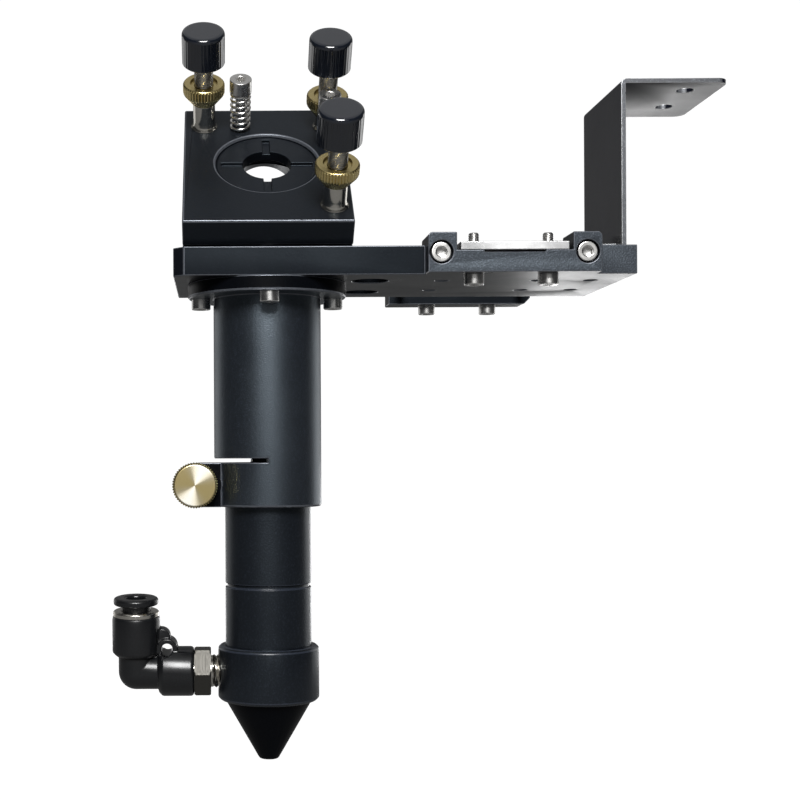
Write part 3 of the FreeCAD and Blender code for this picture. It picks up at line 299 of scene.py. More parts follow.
def threaded(radius, low, high, pitch, deep, turns=40, per_pitch=6):
    """A screw thread: radius - deep x |2 frac(z / pitch - a / 360 degrees) - 1|, faded at both ends."""
    rows = max(int((high - low) / pitch * per_pitch), 2)
    height = np.linspace(low, high, rows)[:, None]
    angle = np.linspace(0, math.tau, turns, endpoint=False)[None, :]
    wave = np.abs(2 * ((height / pitch - angle / math.tau) % 1) - 1)
    fade = np.clip(np.minimum(height - low, high - height) / pitch, 0, 1)
    reach = radius - deep * (wave * fade + (1 - fade) * 0.5)
    return np.stack([reach * np.cos(angle), reach * np.sin(angle), height + 0 * angle], axis=-1)


def coil(radius, wire, long, turns, steps=26, sides=12):
    """A compression spring.

    The line is (R cos a, R sin a, z(a)), where z rises evenly but slowly over the first and last
    three quarters of a turn, and a circle of the wire's radius is carried square to it.
    """
    turn = np.linspace(0, turns, turns * steps + 1)
    pace = np.clip(np.minimum(turn, turns - turn) / 0.75, 0.25, 1)
    height = np.concatenate([[0], np.cumsum((pace[1:] + pace[:-1]) / 2)])
    height = wire + height / height[-1] * (long - 2 * wire)
    angle = math.tau * turn
    outward = np.stack([np.cos(angle), np.sin(angle), 0 * angle], axis=-1)
    middle = radius * outward + height[:, None] * Z
    run = np.gradient(middle, axis=0)
    run /= np.linalg.norm(run, axis=1, keepdims=True)
    lift = np.cross(run, outward)
    around = np.linspace(0, math.tau, sides, endpoint=False)
    ring = np.cos(around)[None, :, None] * outward[:, None] + np.sin(around)[None, :, None] * lift[:, None]
    points = middle[:, None] + wire * ring
    ends = np.repeat(middle[[0, -1], None], sides, axis=1)
    return np.concatenate([ends[:1], points, ends[1:]])


def stand(points, origin, out=Z, side=X):
    """Carry points from a piece's own frame to the row's: origin + x side + y (out x side) + z out."""
    out, side = unit(out), unit(side)
    return np.asarray(origin) + points @ np.stack([side, np.cross(out, side), out])


def write_mesh(name, grids, finishes, sharp=38.0):
    """Put grids of points into one mesh.

    A grid wraps round in its second direction. Neighbours (i, j), (i, j+1), (i+1, j+1) and
    (i+1, j) make a face, and rows that end at one point close the surface.
    """
    mesh = bpy.data.meshes.new(name)
    points, faces, tones, first = [], [], [], 0
    for grid, closed, tone in grids:
        rows, columns = grid.shape[:2]
        number = first + np.arange(rows * columns).reshape(rows, columns)
        if closed:
            number = np.concatenate([number, number[:1]])
        ahead = np.roll(number, -1, 1)
        quads = np.stack([number[:-1], ahead[:-1], ahead[1:], number[1:]], axis=-1).reshape(-1, 4)
        points.append(grid.reshape(-1, 3))
        faces.append(quads)
        tones.append(np.full(len(quads), tone))
        first += rows * columns
    points = np.concatenate(points) * MM
    mesh.from_pydata(points.tolist(), [], np.concatenate(faces).tolist())
    for finish in finishes:
        mesh.materials.append(finish)
    mesh.polygons.foreach_set("material_index", np.concatenate(tones))
    work = bmesh.new()
    work.from_mesh(mesh)
    bmesh.ops.remove_doubles(work, verts=work.verts, dist=SAME_POINT)
    bmesh.ops.recalc_face_normals(work, faces=work.faces)
    work.to_mesh(mesh)
    work.free()
    mesh.polygons.foreach_set("use_smooth", np.ones(len(mesh.polygons), bool))
    mesh.set_sharp_from_angle(angle=math.radians(sharp))
    return mesh


def seat(mesh, node):
    """Show a mesh in place of a CAD node, on the node's own body."""
    piece = bpy.data.objects.new(f"shown_{node}", mesh)
    bpy.context.scene.collection.objects.link(piece)
    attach(piece, BODY_OF[node])
    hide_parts(node)
    return piece


def dressed(name, node, grids, finishes, sharp=38.0):
    """A new piece from grids, in place of a CAD node."""
    seat(write_mesh(name, grids, finishes, sharp), node)


def milled(name, node, finishes, edge, steps=3, levels=(), second=None):
    """A machined piece: the node's own faces, with every corner broken by a narrow round.

    Flat triangles are joined first. Long faces are cut at the levels, so that a corner changes
    only the shading beside it. The round takes the last finish, and a face for which `second`
    is true takes the second one.
    """
    mesh = frame["nodes"][node].data.copy()
    mesh.name = name
    mesh.materials.clear()
    for finish in finishes:
        mesh.materials.append(finish)
    work = bmesh.new()
    work.from_mesh(mesh)
    bmesh.ops.remove_doubles(work, verts=work.verts, dist=SAME_POINT)
    bmesh.ops.dissolve_limit(work, angle_limit=FLAT, verts=work.verts, edges=work.edges)
    for level in levels:
        bmesh.ops.bisect_plane(work, geom=[*work.verts, *work.edges, *work.faces],
                               plane_co=(0, 0, level * MM), plane_no=Z)
    for face in work.faces:
        face.material_index = int(second is not None and second(face))
        face.smooth = True
    work.to_mesh(mesh)
    work.free()
    mesh.set_sharp_from_angle(angle=CORNER)
    bevel = seat(mesh, node).modifiers.new("Broken edges", "BEVEL")
    bevel.width = edge
    bevel.segments = steps
    bevel.limit_method = "ANGLE"
    bevel.angle_limit = CORNER
    bevel.use_clamp_overlap = False
    bevel.harden_normals = True
    bevel.material = len(finishes) - 1


def add_node(tree, kind, operation=None, **inputs):
    """A new node with its operation and some inputs set. An underscore stands for a space."""
    node = tree.nodes.new(kind)
    if operation:
        node.operation = operation
    for socket, value in inputs.items():
        node.inputs[socket.replace("_", " ")].default_value = value
    return node


def group_socket(tree, name, kind, out, default=None):
    """One named input or output of a node group."""
    socket = tree.interface.new_socket(name=name, in_out="OUTPUT" if out else "INPUT", socket_type=kind)
    if default is not None:
        socket.default_value = default


def new_group(name, inputs, outputs):
    """An empty node group with float outputs. A vector or a missing default makes a vector input."""
    tree = bpy.data.node_groups.new(name, "ShaderNodeTree")
    for socket, default in inputs.items():
        kind = "NodeSocketFloat" if isinstance(default, float) else "NodeSocketVector"
        group_socket(tree, socket, kind, False, default)
    for socket in outputs:
        group_socket(tree, socket, "NodeSocketFloat", True)
    return tree, add_node(tree, "NodeGroupInput"), add_node(tree, "NodeGroupOutput")


def grain_group():
    """Fine grain of a blasted or moulded face: two noises, one fine and one coarse."""
    tree, given, result = new_group("Surface grain", {"Fine": 3000.0, "Coarse": 60.0},
                                    ("Height", "Speckle", "Drift"))
    place = add_node(tree, "ShaderNodeTexCoord")
    fine = add_node(tree, "ShaderNodeTexNoise", Detail=1.5)
    coarse = add_node(tree, "ShaderNodeTexNoise", Detail=3.0)
    speckle = add_node(tree, "ShaderNodeMapRange", From_Min=0.52, From_Max=0.72)
    tree.links.new(place.outputs["Object"], fine.inputs["Vector"])
    tree.links.new(place.outputs["Object"], coarse.inputs["Vector"])
    tree.links.new(given.outputs["Fine"], fine.inputs["Scale"])
    tree.links.new(given.outputs["Coarse"], coarse.inputs["Scale"])
    tree.links.new(fine.outputs["Fac"], speckle.inputs["Value"])
    tree.links.new(fine.outputs["Fac"], result.inputs["Height"])
    tree.links.new(speckle.outputs["Result"], result.inputs["Speckle"])
    tree.links.new(coarse.outputs["Fac"], result.inputs["Drift"])


def from_centre(tree, given):
    """Place on the piece, measured from the group's Centre."""
    place = add_node(tree, "ShaderNodeTexCoord")
    offset = add_node(tree, "ShaderNodeVectorMath", "SUBTRACT")
    tree.links.new(place.outputs["Object"], offset.inputs[0])
    tree.links.new(given.outputs["Centre"], offset.inputs[1])
    return offset.outputs["Vector"]


def turning_group():
    """Fine lines left by turning: noise along the distance from an axis, and along the axis."""
    tree, given, result = new_group(
        "Turning lines", {"Centre": None, "Axis": (0.0, 0.0, 1.0), "Lines": 4000.0}, ("Height",))
    offset = from_centre(tree, given)
    along = add_node(tree, "ShaderNodeVectorMath", "DOT_PRODUCT")
    across = add_node(tree, "ShaderNodeVectorMath", "CROSS_PRODUCT")
    reach = add_node(tree, "ShaderNodeVectorMath", "LENGTH")
    both = add_node(tree, "ShaderNodeCombineXYZ")
    lines = add_node(tree, "ShaderNodeTexNoise", Detail=2.0)
    for step in (along, across):
        tree.links.new(offset, step.inputs[0])
        tree.links.new(given.outputs["Axis"], step.inputs[1])
    tree.links.new(across.outputs["Vector"], reach.inputs[0])
    tree.links.new(reach.outputs["Value"], both.inputs["X"])
    tree.links.new(along.outputs["Value"], both.inputs["Y"])
    tree.links.new(both.outputs["Vector"], lines.inputs["Vector"])
    tree.links.new(given.outputs["Lines"], lines.inputs["Scale"])
    tree.links.new(lines.outputs["Fac"], result.inputs["Height"])


def painted_sheen_group():
    """Painted sheen that stands for the highlight fans of a spun face: |cos(angle - lead)| to the fourth
    power, with the angle round a centre.
    """
    # The lead sets the direction of the painted highlight fans.
    tree, given, result = new_group("Painted spun sheen", {"Centre": None, "Lead": 1.13}, ("Sheen",))
    parts = add_node(tree, "ShaderNodeSeparateXYZ")
    tree.links.new(from_centre(tree, given), parts.inputs["Vector"])
    steps = []
    for operation in ("ARCTAN2", "SUBTRACT", "COSINE", "ABSOLUTE", "POWER"):
        step = add_node(tree, "ShaderNodeMath", operation)
        if steps:
            tree.links.new(steps[-1].outputs["Value"], step.inputs[0])
        steps.append(step)
    steps[-1].inputs[1].default_value = 4.0
    tree.links.new(parts.outputs["Z"], steps[0].inputs[0])
    tree.links.new(parts.outputs["X"], steps[0].inputs[1])
    tree.links.new(given.outputs["Lead"], steps[1].inputs[1])
    tree.links.new(steps[-1].outputs["Value"], result.inputs["Sheen"])


def effect(tree, name, **inputs):
    """A shared node group, placed in a material with its own values."""
    node = tree.nodes.new("ShaderNodeGroup")
    node.node_tree = bpy.data.node_groups[name]
    for socket, value in inputs.items():
        node.inputs[socket].default_value = value
    return node


def new_material(name, roughness, metallic, **plain):
    """The nodes and the Principled shader of a new material, with the shader's plain values."""
    material = bpy.data.materials.new(name)
    material.use_nodes = True
    shader = material.node_tree.nodes["Principled BSDF"]
    for socket, value in {"Roughness": roughness, "Metallic": metallic, **plain}.items():
        shader.inputs[socket.replace("_", " ")].default_value = value
    return material.node_tree, shader


def shade(colour, factor):
    """A colour made darker or lighter, up to white."""
    return [min(channel * factor, 1) for channel in colour]


def tinted(tree, shader, low, high, factor):
    """Base colour between two colours, led by a value."""
    mix = tree.nodes.new("ShaderNodeMix")
    mix.data_type = "RGBA"
    mix.inputs["A"].default_value = (*low, 1)
    mix.inputs["B"].default_value = (*high, 1)
    tree.links.new(factor, mix.inputs["Factor"])
    tree.links.new(mix.outputs["Result"], shader.inputs["Base Color"])


def roughened(tree, shader, value, low, high):
    """Roughness between two values, led by a noise that mostly lies between 0.3 and 0.7."""
    span = add_node(tree, "ShaderNodeMapRange", From_Min=0.3, From_Max=0.7, To_Min=low, To_Max=high)
    tree.links.new(value, span.inputs["Value"])
    tree.links.new(span.outputs["Result"], shader.inputs["Roughness"])


def bumped(tree, shader, height, deep):
    """Feed the normal with a height that is `deep` metres at its most."""
    bump = add_node(tree, "ShaderNodeBump", Distance=deep)
    tree.links.new(height, bump.inputs["Height"])
    tree.links.new(bump.outputs["Normal"], shader.inputs["Normal"])


def grained(name, colour, roughness, fine, coarse, bump, metallic=0.0, sparkle=1.35, spread=0.06, **plain):
    """A blasted or moulded finish: speckled colour, drifting roughness and a fine bump."""
    tree, shader = new_material(name, roughness, metallic, **plain)
    grain = effect(tree, "Surface grain", Fine=fine, Coarse=coarse)
    tinted(tree, shader, colour, shade(colour, sparkle), grain.outputs["Speckle"])
    roughened(tree, shader, grain.outputs["Drift"], roughness - spread, roughness + spread)
    bumped(tree, shader, grain.outputs["Height"], bump)


def turned_metal(name, colour, roughness, centre, axis, bump):
    """A turned metal: lines round an axis that change the tone, the roughness and the bump."""
    tree, shader = new_material(name, roughness, 1.0)
    lines = effect(tree, "Turning lines", Centre=Vector(centre) * MM, Axis=Vector(axis), Lines=2500)
    tinted(tree, shader, shade(colour, 0.8), colour, lines.outputs["Height"])
    roughened(tree, shader, lines.outputs["Height"], roughness * 0.8, roughness * 1.25)
    bumped(tree, shader, lines.outputs["Height"], bump)


def brass_face_painted_sheen(brass):
    """The knob's face: two bright fans of painted highlight round its centre, and very fine lines."""
    tree, shader = new_material("Spun brass painted sheen", 0.3, 1.0)
    knob = Vector(box_of("clamp_knob")[2]) * MM
    sheen = effect(tree, "Painted spun sheen", Centre=knob)
    tinted(tree, shader, brass, (1.0, 0.98, 0.9), sheen.outputs["Sheen"])
    roughened(tree, shader, sheen.outputs["Sheen"], 0.3, 0.5)
    lines = effect(tree, "Turning lines", Centre=knob, Axis=Vector(Y), Lines=14000)
    bumped(tree, shader, lines.outputs["Height"], 2.5e-6)


def anodised_finishes(black, thin_black):
    """Black anodising on faces cut in different ways, a darker copy of it as painted shade, and the edges
    where it is thin.
    """
    blue = (0.74, 0.88, 1.0, 1.0)
    grained("Black anodised", black, roughness=0.42, fine=2600, coarse=45, bump=1.6e-5, sparkle=1.6,
            spread=0.05, IOR=1.4, Specular_Tint=blue)
    grained("Blasted anodised", black, roughness=0.34, fine=3600, coarse=45, bump=4.5e-5, sparkle=5.0,
            spread=0.04, IOR=2.1, Specular_Tint=blue)
    grained("Satin anodised", (0.021, 0.023, 0.028), roughness=0.5, fine=2300, coarse=300, bump=1e-4,
            sparkle=3.0, spread=0.05, IOR=1.5, Specular_Tint=blue)
    grained("Turned anodised", black, roughness=0.34, fine=2100, coarse=45, bump=4e-5, sparkle=2.2,
            spread=0.04, IOR=1.55, Specular_Tint=blue)
    grained("Milled anodised", black, roughness=0.31, fine=1500, coarse=45, bump=1.2e-5, sparkle=1.3,
            spread=0.05, IOR=1.27, Specular_Tint=blue)
    # A darker, less reflecting copy of the black: painted shade for faces that lie in shadow.
    grained("Painted shade anodised", shade(black, 0.5), roughness=0.3, fine=1500, coarse=45, bump=1e-5,
            sparkle=1.3, spread=0.05, IOR=1.15)
    grained("Turned edge", shade(black, 5), roughness=0.3, fine=1200, coarse=200, bump=4e-6, sparkle=1.2,
            spread=0.05)
    grained("Broken edge", thin_black, roughness=0.34, metallic=0.5, fine=1200, coarse=200, bump=4e-6,
            sparkle=1.2)


def sheet_finishes(black):
    """The clamp bars' bright sheet, and the bracket's coated sheet with its sheared faces."""
    grained("Bright aluminium", (0.80, 0.80, 0.80), roughness=0.30, metallic=1.0, fine=1800, coarse=120,
            bump=8e-6, sparkle=1.1, spread=0.08)
    grained("Coated sheet", (black[0], black[1], black[2] * 1.6), roughness=0.34, fine=1800, coarse=60,
            bump=1e-5, sparkle=1.3, spread=0.04, IOR=1.42)
    grained("Sheared face", (0.10, 0.105, 0.115), roughness=0.4, metallic=0.3, fine=2300, coarse=300,
            bump=3e-5, sparkle=1.8)
    grained("Cut edge", (0.55, 0.56, 0.57), roughness=0.32, metallic=0.9, fine=1500, coarse=300,
            bump=1e-5, sparkle=1.2, spread=0.08)


def metal_finishes(steel, nickel, brass):
    """Steel screws and springs, nickel plated turned pieces and brass."""
    grained("Screw steel", steel, roughness=0.28, metallic=1.0, fine=1500, coarse=300, bump=4e-6,
            sparkle=1.15)
    grained("Spring steel", shade(steel, 1.15), roughness=0.2, metallic=1.0, fine=1500, coarse=300,
            bump=3e-6, sparkle=1.1, spread=0.05)
    stem = box_of("fitting_stem")[2]
    turned_metal("Slope nickel", nickel, 0.16, MIRROR_FACE, SLOPE_OUT, 1.5e-6)
    turned_metal("Stem nickel", nickel, 0.22, stem, X, 3e-6)
    turned_metal("Hexagon nickel", shade(nickel, 0.14), 0.45, stem, X, 3e-6)
    grained("Brass", brass, roughness=0.27, metallic=1.0, fine=1500, coarse=200, bump=4e-6, sparkle=1.12,
            spread=0.07)
    brass_face_painted_sheen(brass)


def plastic_finishes(cap, plastic):
    """Gloss caps, the fitting's plastic, rubber, and the lens with its amber coating."""
    grained("Gloss cap", cap, roughness=0.11, fine=900, coarse=60, bump=1e-6, sparkle=1.2, spread=0.02,
            Coat_Weight=1.0)
    grained("Fitting plastic", plastic, roughness=0.28, fine=2200, coarse=70, bump=6e-6, sparkle=1.4,
            spread=0.05, IOR=1.55)
    grained("Seal rubber", (0.02, 0.02, 0.02), roughness=0.7, fine=1500, coarse=80, bump=1e-5)
    tree, shader = new_material("Lens glass", 0.03, 0.0, Transmission_Weight=1.0, IOR=1.9)
    coating = effect(tree, "Surface grain", Fine=400)
    tinted(tree, shader, (0.85, 0.52, 0.14), (0.95, 0.66, 0.22), coating.outputs["Drift"])


def finishes_of(scene):
    """Every finish of the head by name, made once."""
    made = bpy.data.materials
    if "Black anodised" in made:
        return made
    grain_group()
    turning_group()
    painted_sheen_group()
    tone = scene.head_colours
    black = tuple(tone.anodised)
    anodised_finishes(black, tuple(tone.broken_edge))
    sheet_finishes(black)
    metal_finishes(tuple(tone.steel), tuple(tone.nickel), tuple(tone.brass))
    plastic_finishes(tuple(tone.cap), tuple(tone.plastic))
    return made


def skins(*grids):
    """Grids that don't close end to end and take the first finish."""
    return [(grid, False, 0) for grid in grids]


def placed(grids, origin, out=Z, side=X):
    """Carry a piece's grids to their place."""
    return [(stand(grid, origin, out, side), closed, tone) for grid, closed, tone in grids]


def solids_of(node, out):
    """Top and length of each of a node's separate solids along a direction, in millimetres.

    Every point takes the lowest number that a triangle brings it, again and again until nothing
    changes. The points of one solid then share a number.
    """
    mesh = frame["nodes"][node].data
    corners = np.empty(len(mesh.loops), int)
    mesh.loops.foreach_get("vertex_index", corners)
    points, number = np.unique(points_of(node), axis=0, return_inverse=True)
    triangles = number.reshape(-1)[corners].reshape(-1, 3)
    solid = np.arange(len(points))
    settled = False
    while not settled:
        lower = solid.copy()
        np.minimum.at(lower, triangles, solid[triangles].min(axis=1)[:, None])
        settled = np.array_equal(lower, solid)
        solid = lower
    found = []
    for part in (points[solid == each] for each in np.unique(solid)):
        along = part @ unit(out)
        middle = (part.min(0) + part.max(0)) / 2
        top = middle + (along.max() - middle @ unit(out)) * unit(out)
        found.append((top, along.max() - along.min()))
    return sorted(found, key=lambda item: tuple(np.round(item[0], 2)))


def socket_screw(long, pitch, thread_long, radius, high):
    """A socket head screw with its seat at height 0 and its head above it.

    The head's half section goes from the seat round the rim into the socket, whose rows are
    pressed into a hexagon. The shank's end carries a thread.
    """
    head = soften([(SHANK, 0), (radius, 0), (radius, high), (1.62, high), (1.44, high - 0.18),
                   (1.44, high - 1.6), (0.0, high - 1.8)],
                  [0.02, 0.08, 0.3, 0.05, 0.03, 0.03, 0.01], closed=False)
    skin = ridged(head, 32, 0.07, 0.25, high - 0.4, 0.05, per_ridge=6)
    inside = (head[:, 0] < SHANK) & (head[:, 1] > high - 1.7)
    hexagonal(skin, SOCKET_ACROSS, np.flatnonzero(inside))
    thread_high = thread_long - long
    thread_low = 0.3 - long
    shank = [lathe([(SHANK, 0), (SHANK, thread_high)], 40)] if thread_long < long else []
    thread = threaded(SHANK, thread_low, thread_high, pitch, 0.22)
    tip = lathe([(1.36, thread_low), (1.1, -long), (0, -long)], 40)
    return skins(skin, *shank, thread, tip)


def bush_skins(neck_high):
    """A plated bush: a collar on the mirror plate and a neck up to the lock nut."""
    section = soften([(NUT_BORE, -8), (BUSH, -8), (BUSH, -0.1), (3.95, 0), (3.95, 0.35), (3.42, 1.1),
                      (BUSH, 2.2), (BUSH, neck_high), (NUT_BORE, neck_high)],
                     [0.05, 0.1, 0.02, 0.05, 0.1, 0.4, 0.8, 0.15, 0.05])
    return [(lathe(section, FINE_TURNS), True, 0)]


def shaft_skins(low, nut_top, cap_low, top):
    """A fine screw: a rounded tip, a plain shaft in the bush and a thread up into the cap."""
    thread_low, thread_high = nut_top - 1.2, cap_low + 0.3
    shaft = soften([(0, low + 0.03), (1.0, low + 0.15), (1.9, low + 0.7), (SHAFT, low + 1.8),
                    (SHAFT, thread_low)], [0.01, 0.2, 0.2, 0.2, 0.1], closed=False)
    thread = threaded(SHAFT, thread_low, thread_high, FINE_PITCH, 0.16, FINE_TURNS)
    end = lathe([(SHAFT - 0.08, thread_high), (SHAFT - 0.08, top), (0, top)], FINE_TURNS)
    return skins(lathe(shaft, FINE_TURNS), thread, end)


def nut_skins(low, rim_low, top, ridges):
    """A lock nut: a cone from the bush out to a knurled rim, and a sunk top."""
    section = soften([(NUT_BORE, low), (3.45, low), (NUT, rim_low), (NUT, top - 0.5), (5.6, top),
                      (4.0, top), (3.75, top - 0.8), (NUT_BORE, top - 0.8)],
                     [0.05, 0.15, 0.5, 0.1, 0.15, 0.1, 0.1, 0.05])
    return [(ridged(section, ridges, 0.3, low + 0.8, top - 0.2, 2.0), True, 0)]


def cap_skins(low, top, shaft_top, sizes):
    """A cap: a fluted side, a rounded top and a blind hole for the shaft."""
    top_round = sizes.cap_round / MM
    section = soften([(CAP_BORE, low), (5.75, low), (CAP, low + 0.35), (CAP, top), (0, top)],
                     [0.05, 0.1, 0.1, top_round, 0.1], steps=9, closed=False)
    flutes = ridged(section, sizes.cap_flutes, sizes.flute_deep / MM, low + 0.2, top - top_round, 0.12)
    hole = lathe([(CAP_BORE, low), (CAP_BORE, shaft_top + 0.1), (0, shaft_top + 0.1)], flutes.shape[1])
    return skins(flutes, hole)


class HEAD_OT_plates(bpy.types.Operator):
    """Milled plates, blocks and clamp bars with broken edges"""

    bl_idname = "head.plates"
    bl_label = "Plates and blocks"

    def execute(self, context):
        finish = finishes_of(context.scene)
        edge = context.scene.head_shapes.edge
        black = [finish["Black anodised"], finish["Broken edge"]]
        dark = [finish["Milled anodised"], finish["Broken edge"]]
        bright = [finish["Bright aluminium"]]
        belt_end = box_of("belt_clamp_plate")[0][0] - 10

        def belt_front(face):
            """True on the plate's front beside the belt clamp."""
            return face.normal.y < -FACING and face.calc_center_median().x / MM > belt_end

        milled("Carriage plate", "carriage_plate", [dark[0], finish["Satin anodised"], dark[1]], edge,
               second=belt_front)
        milled("Mirror plate", "mirror_plate", black, edge)
        milled("Mirror block", "mirror_block", black, edge)
        milled("Rear belt block", "rear_belt_block", dark, edge)
        milled("Mirror retainer", "mirror_retainer", black[:1], edge * 0.7)
        milled("Belt clamp bar", "belt_clamp_plate", bright, edge)
        milled("Rear clamp bar", "rear_clamp_plate", bright, edge)
        return {"FINISHED"}


class HEAD_OT_bracket(bpy.types.Operator):
    """The folded cable bracket with bare cut edges"""

    bl_idname = "head.bracket"
    bl_label = "Cable bracket"

    def execute(self, context):
        finish = finishes_of(context.scene)
        sheet = [finish["Coated sheet"], finish["Sheared face"], finish["Cut edge"]]
        milled("Cable bracket", "cable_bracket", sheet, 0.00015,
               second=lambda face: abs(face.normal.y) > FACING)
        return {"FINISHED"}


class HEAD_OT_tubes(bpy.types.Operator):
    """The outer tube, the two lens tube halves and the nozzle"""

    bl_idname = "head.tubes"
    bl_label = "Tubes and nozzle"

    def execute(self, context):
        finish = finishes_of(context.scene)
        edge = context.scene.head_shapes.edge
        # The darker copy of the black is painted shade for the lugs, the flange's rim and the nozzle tip.
        deep = finish["Painted shade anodised"]
        turned = [finish["Turned anodised"], finish["Turned edge"]]

        def lug_or_rim(face):
            """True on the lugs and on the flange's rim, which take the painted shade."""
            middle = face.calc_center_median() / MM
            on_rim = middle.z > RIM_LOW and abs(face.normal.z) < 0.5
            return on_rim or middle.x < BEAM[0] - LUG_START

        milled("Outer tube", "outer_tube", [finish["Blasted anodised"], deep, finish["Broken edge"]], edge,
               levels=TUBE_LEVELS, second=lug_or_rim)
        milled("Upper lens tube", "lens_tube_upper", turned, edge)
        milled("Lower lens tube", "lens_tube_lower", turned, edge)
        milled("Nozzle collar", "nozzle_collar", turned, edge)
        # The nozzle tip is painted shade all over, from the darker copy of the black.
        milled("Nozzle tip", "nozzle_tip", [deep, finish["Turned edge"]], edge * 0.6)
        return {"FINISHED"}


class HEAD_OT_lens(bpy.types.Operator):
    """The lens on its seal, under its screwed ring"""

    bl_idname = "head.lens"
    bl_label = "Lens and its seat"

    def execute(self, context):
        finish = finishes_of(context.scene)
        milled("Lens ring", "lens_retainer", [finish["Black anodised"], finish["Broken edge"]], 0.0001)
        milled("Lens seal", "lens_gasket", [finish["Seal rubber"]], 0.0001)
        low, high, middle = box_of("focus_lens")
        radius = (high - low)[0] / 2
        thick = (high - low)[2]
        rise = 0.7
        reach = np.linspace(0, radius, 24)
        dome = np.stack([reach, thick - rise * (reach / radius) ** 2], axis=-1)
        rim = [(radius, 0.05), (radius - 0.05, 0), (0, 0)]
        disc = lathe(np.concatenate([dome, rim]), 96)
        grids = placed(skins(disc), (middle[0], middle[1], low[2]))
        dressed("Lens", "focus_lens", grids, [finish["Lens glass"]])
        return {"FINISHED"}


class HEAD_OT_adjusters(bpy.types.Operator):
    """Bushes, fine screws, knurled lock nuts and fluted caps"""

    bl_idname = "head.adjusters"
    bl_label = "Adjusters"

    def execute(self, context):
        finish = finishes_of(context.scene)
        sizes = context.scene.head_shapes
        base = MIRROR_FACE @ SLOPE_OUT
        for letter in "abc":
            middle = box_of(f"adjuster_bush_{letter}")[2]
            foot = middle - (middle @ SLOPE_OUT - base) * SLOPE_OUT
            nut_seat, nut_top = reach_of(f"lock_nut_{letter}", SLOPE_OUT) - base
            cap_low, cap_top = reach_of(f"adjuster_cap_{letter}", SLOPE_OUT) - base
            shaft_low, shaft_top = reach_of(f"adjuster_screw_{letter}", SLOPE_OUT) - base
            nut_low = nut_seat - 2.0
            pieces = {
                "adjuster_bush": (bush_skins(nut_low - NUT_GAP), "Slope nickel"),
                "adjuster_screw": (shaft_skins(shaft_low, nut_top, cap_low, shaft_top), "Slope nickel"),
                "lock_nut": (nut_skins(nut_low, nut_seat + 1.4, nut_top, sizes.nut_ridges), "Brass"),
                "adjuster_cap": (cap_skins(cap_low, cap_top, shaft_top, sizes), "Gloss cap"),
            }
            for node, (grids, name) in pieces.items():
                grids = placed(grids, foot, SLOPE_OUT)
                dressed(f"{node} {letter}", f"{node}_{letter}", grids, [finish[name]])
        return {"FINISHED"}


class HEAD_OT_springs(bpy.types.Operator):
    """Two coil springs on the mirror plate, under their screws"""

    bl_idname = "head.springs"
    bl_label = "Plate springs"

    def execute(self, context):
        finish = finishes_of(context.scene)
        turns = context.scene.head_shapes.spring_turns
        for number, rise in SPRING_RISES.items():
            middle = box_of(f"plate_spring_{number}")[2]
            foot = middle - ((middle - MIRROR_FACE) @ SLOPE_OUT) * SLOPE_OUT
            wound = coil(2.7, 0.4, SPRING_TOP - rise, turns)
            grids = placed(skins(wound), foot + rise * SLOPE_OUT, SLOPE_OUT)
            dressed(f"Plate spring {number}", f"plate_spring_{number}", grids, [finish["Spring steel"]], 60)
        return {"FINISHED"}


class HEAD_OT_screws(bpy.types.Operator):
    """Every socket screw, with a knurled head, a hexagon socket and a thread"""

    bl_idname = "head.screws"
    bl_label = "Socket screws"

    def execute(self, context):
        finish = finishes_of(context.scene)
        pitch = context.scene.head_shapes.thread_pitch / MM
        for node, (out, thread_long, (radius, head_high)) in SCREWS.items():
            grids = []
            for top, whole in solids_of(node, out):
                long = whole - head_high
                screw = socket_screw(long, pitch, min(thread_long, long - 0.5), radius, head_high)
                grids += placed(screw, top - head_high * unit(out), out)
            dressed(node.replace("_", " ").capitalize(), node, grids, [finish["Screw steel"]])
        return {"FINISHED"}


class HEAD_OT_clamp(bpy.types.Operator):
    """The knurled brass knob and its stud"""

    bl_idname = "head.clamp"
    bl_label = "Tube clamp"

    def execute(self, context):
        finish = finishes_of(context.scene)
        ridges = context.scene.head_shapes.knob_ridges
        low, high, middle = box_of("clamp_knob")
        radius = (high - low)[0] / 2
        thick = (high - low)[1]
        section = soften([(2.0, 0), (radius - 0.3, 0), (radius, 0.3), (radius, thick - 0.75),
                          (radius - 0.75, thick), (0, thick)],
                         [0.02, 0.1, 0.1, 0.1, 0.15, 0.01], closed=False)
        face = section[section[:, 1] >= thick - 0.4]
        rim = np.concatenate([section[section[:, 1] < thick - 0.4], face[:1]])
        knurl = ridged(rim, ridges, 0.3, 0.2, thick - 0.5, 0.12)
        spun = lathe(face, knurl.shape[1])
        # The spun face takes the brass with its painted highlight fans.
        grids = placed([(knurl, False, 0), (spun, False, 1)], (middle[0], high[1], middle[2]), -Y)
        dressed("Clamp knob", "clamp_knob", grids, [finish["Brass"], finish["Spun brass painted sheen"]])
        low, high, middle = box_of("clamp_stud")
        long = (high - low)[1]
        thread_low, thread_high = 0.4, long - 4.0
        thread = threaded(2.0, thread_low, thread_high, 0.7, 0.3)
        end = lathe([(1.8, thread_low), (1.5, 0), (0, 0)], 40)
        plain = lathe([(2.0, thread_high), (2.0, long), (0, long)], 40)
        grids = placed(skins(thread, end, plain), (middle[0], high[1], middle[2]), -Y)
        dressed("Clamp stud", "clamp_stud", grids, [finish["Screw steel"]])
        return {"FINISHED"}


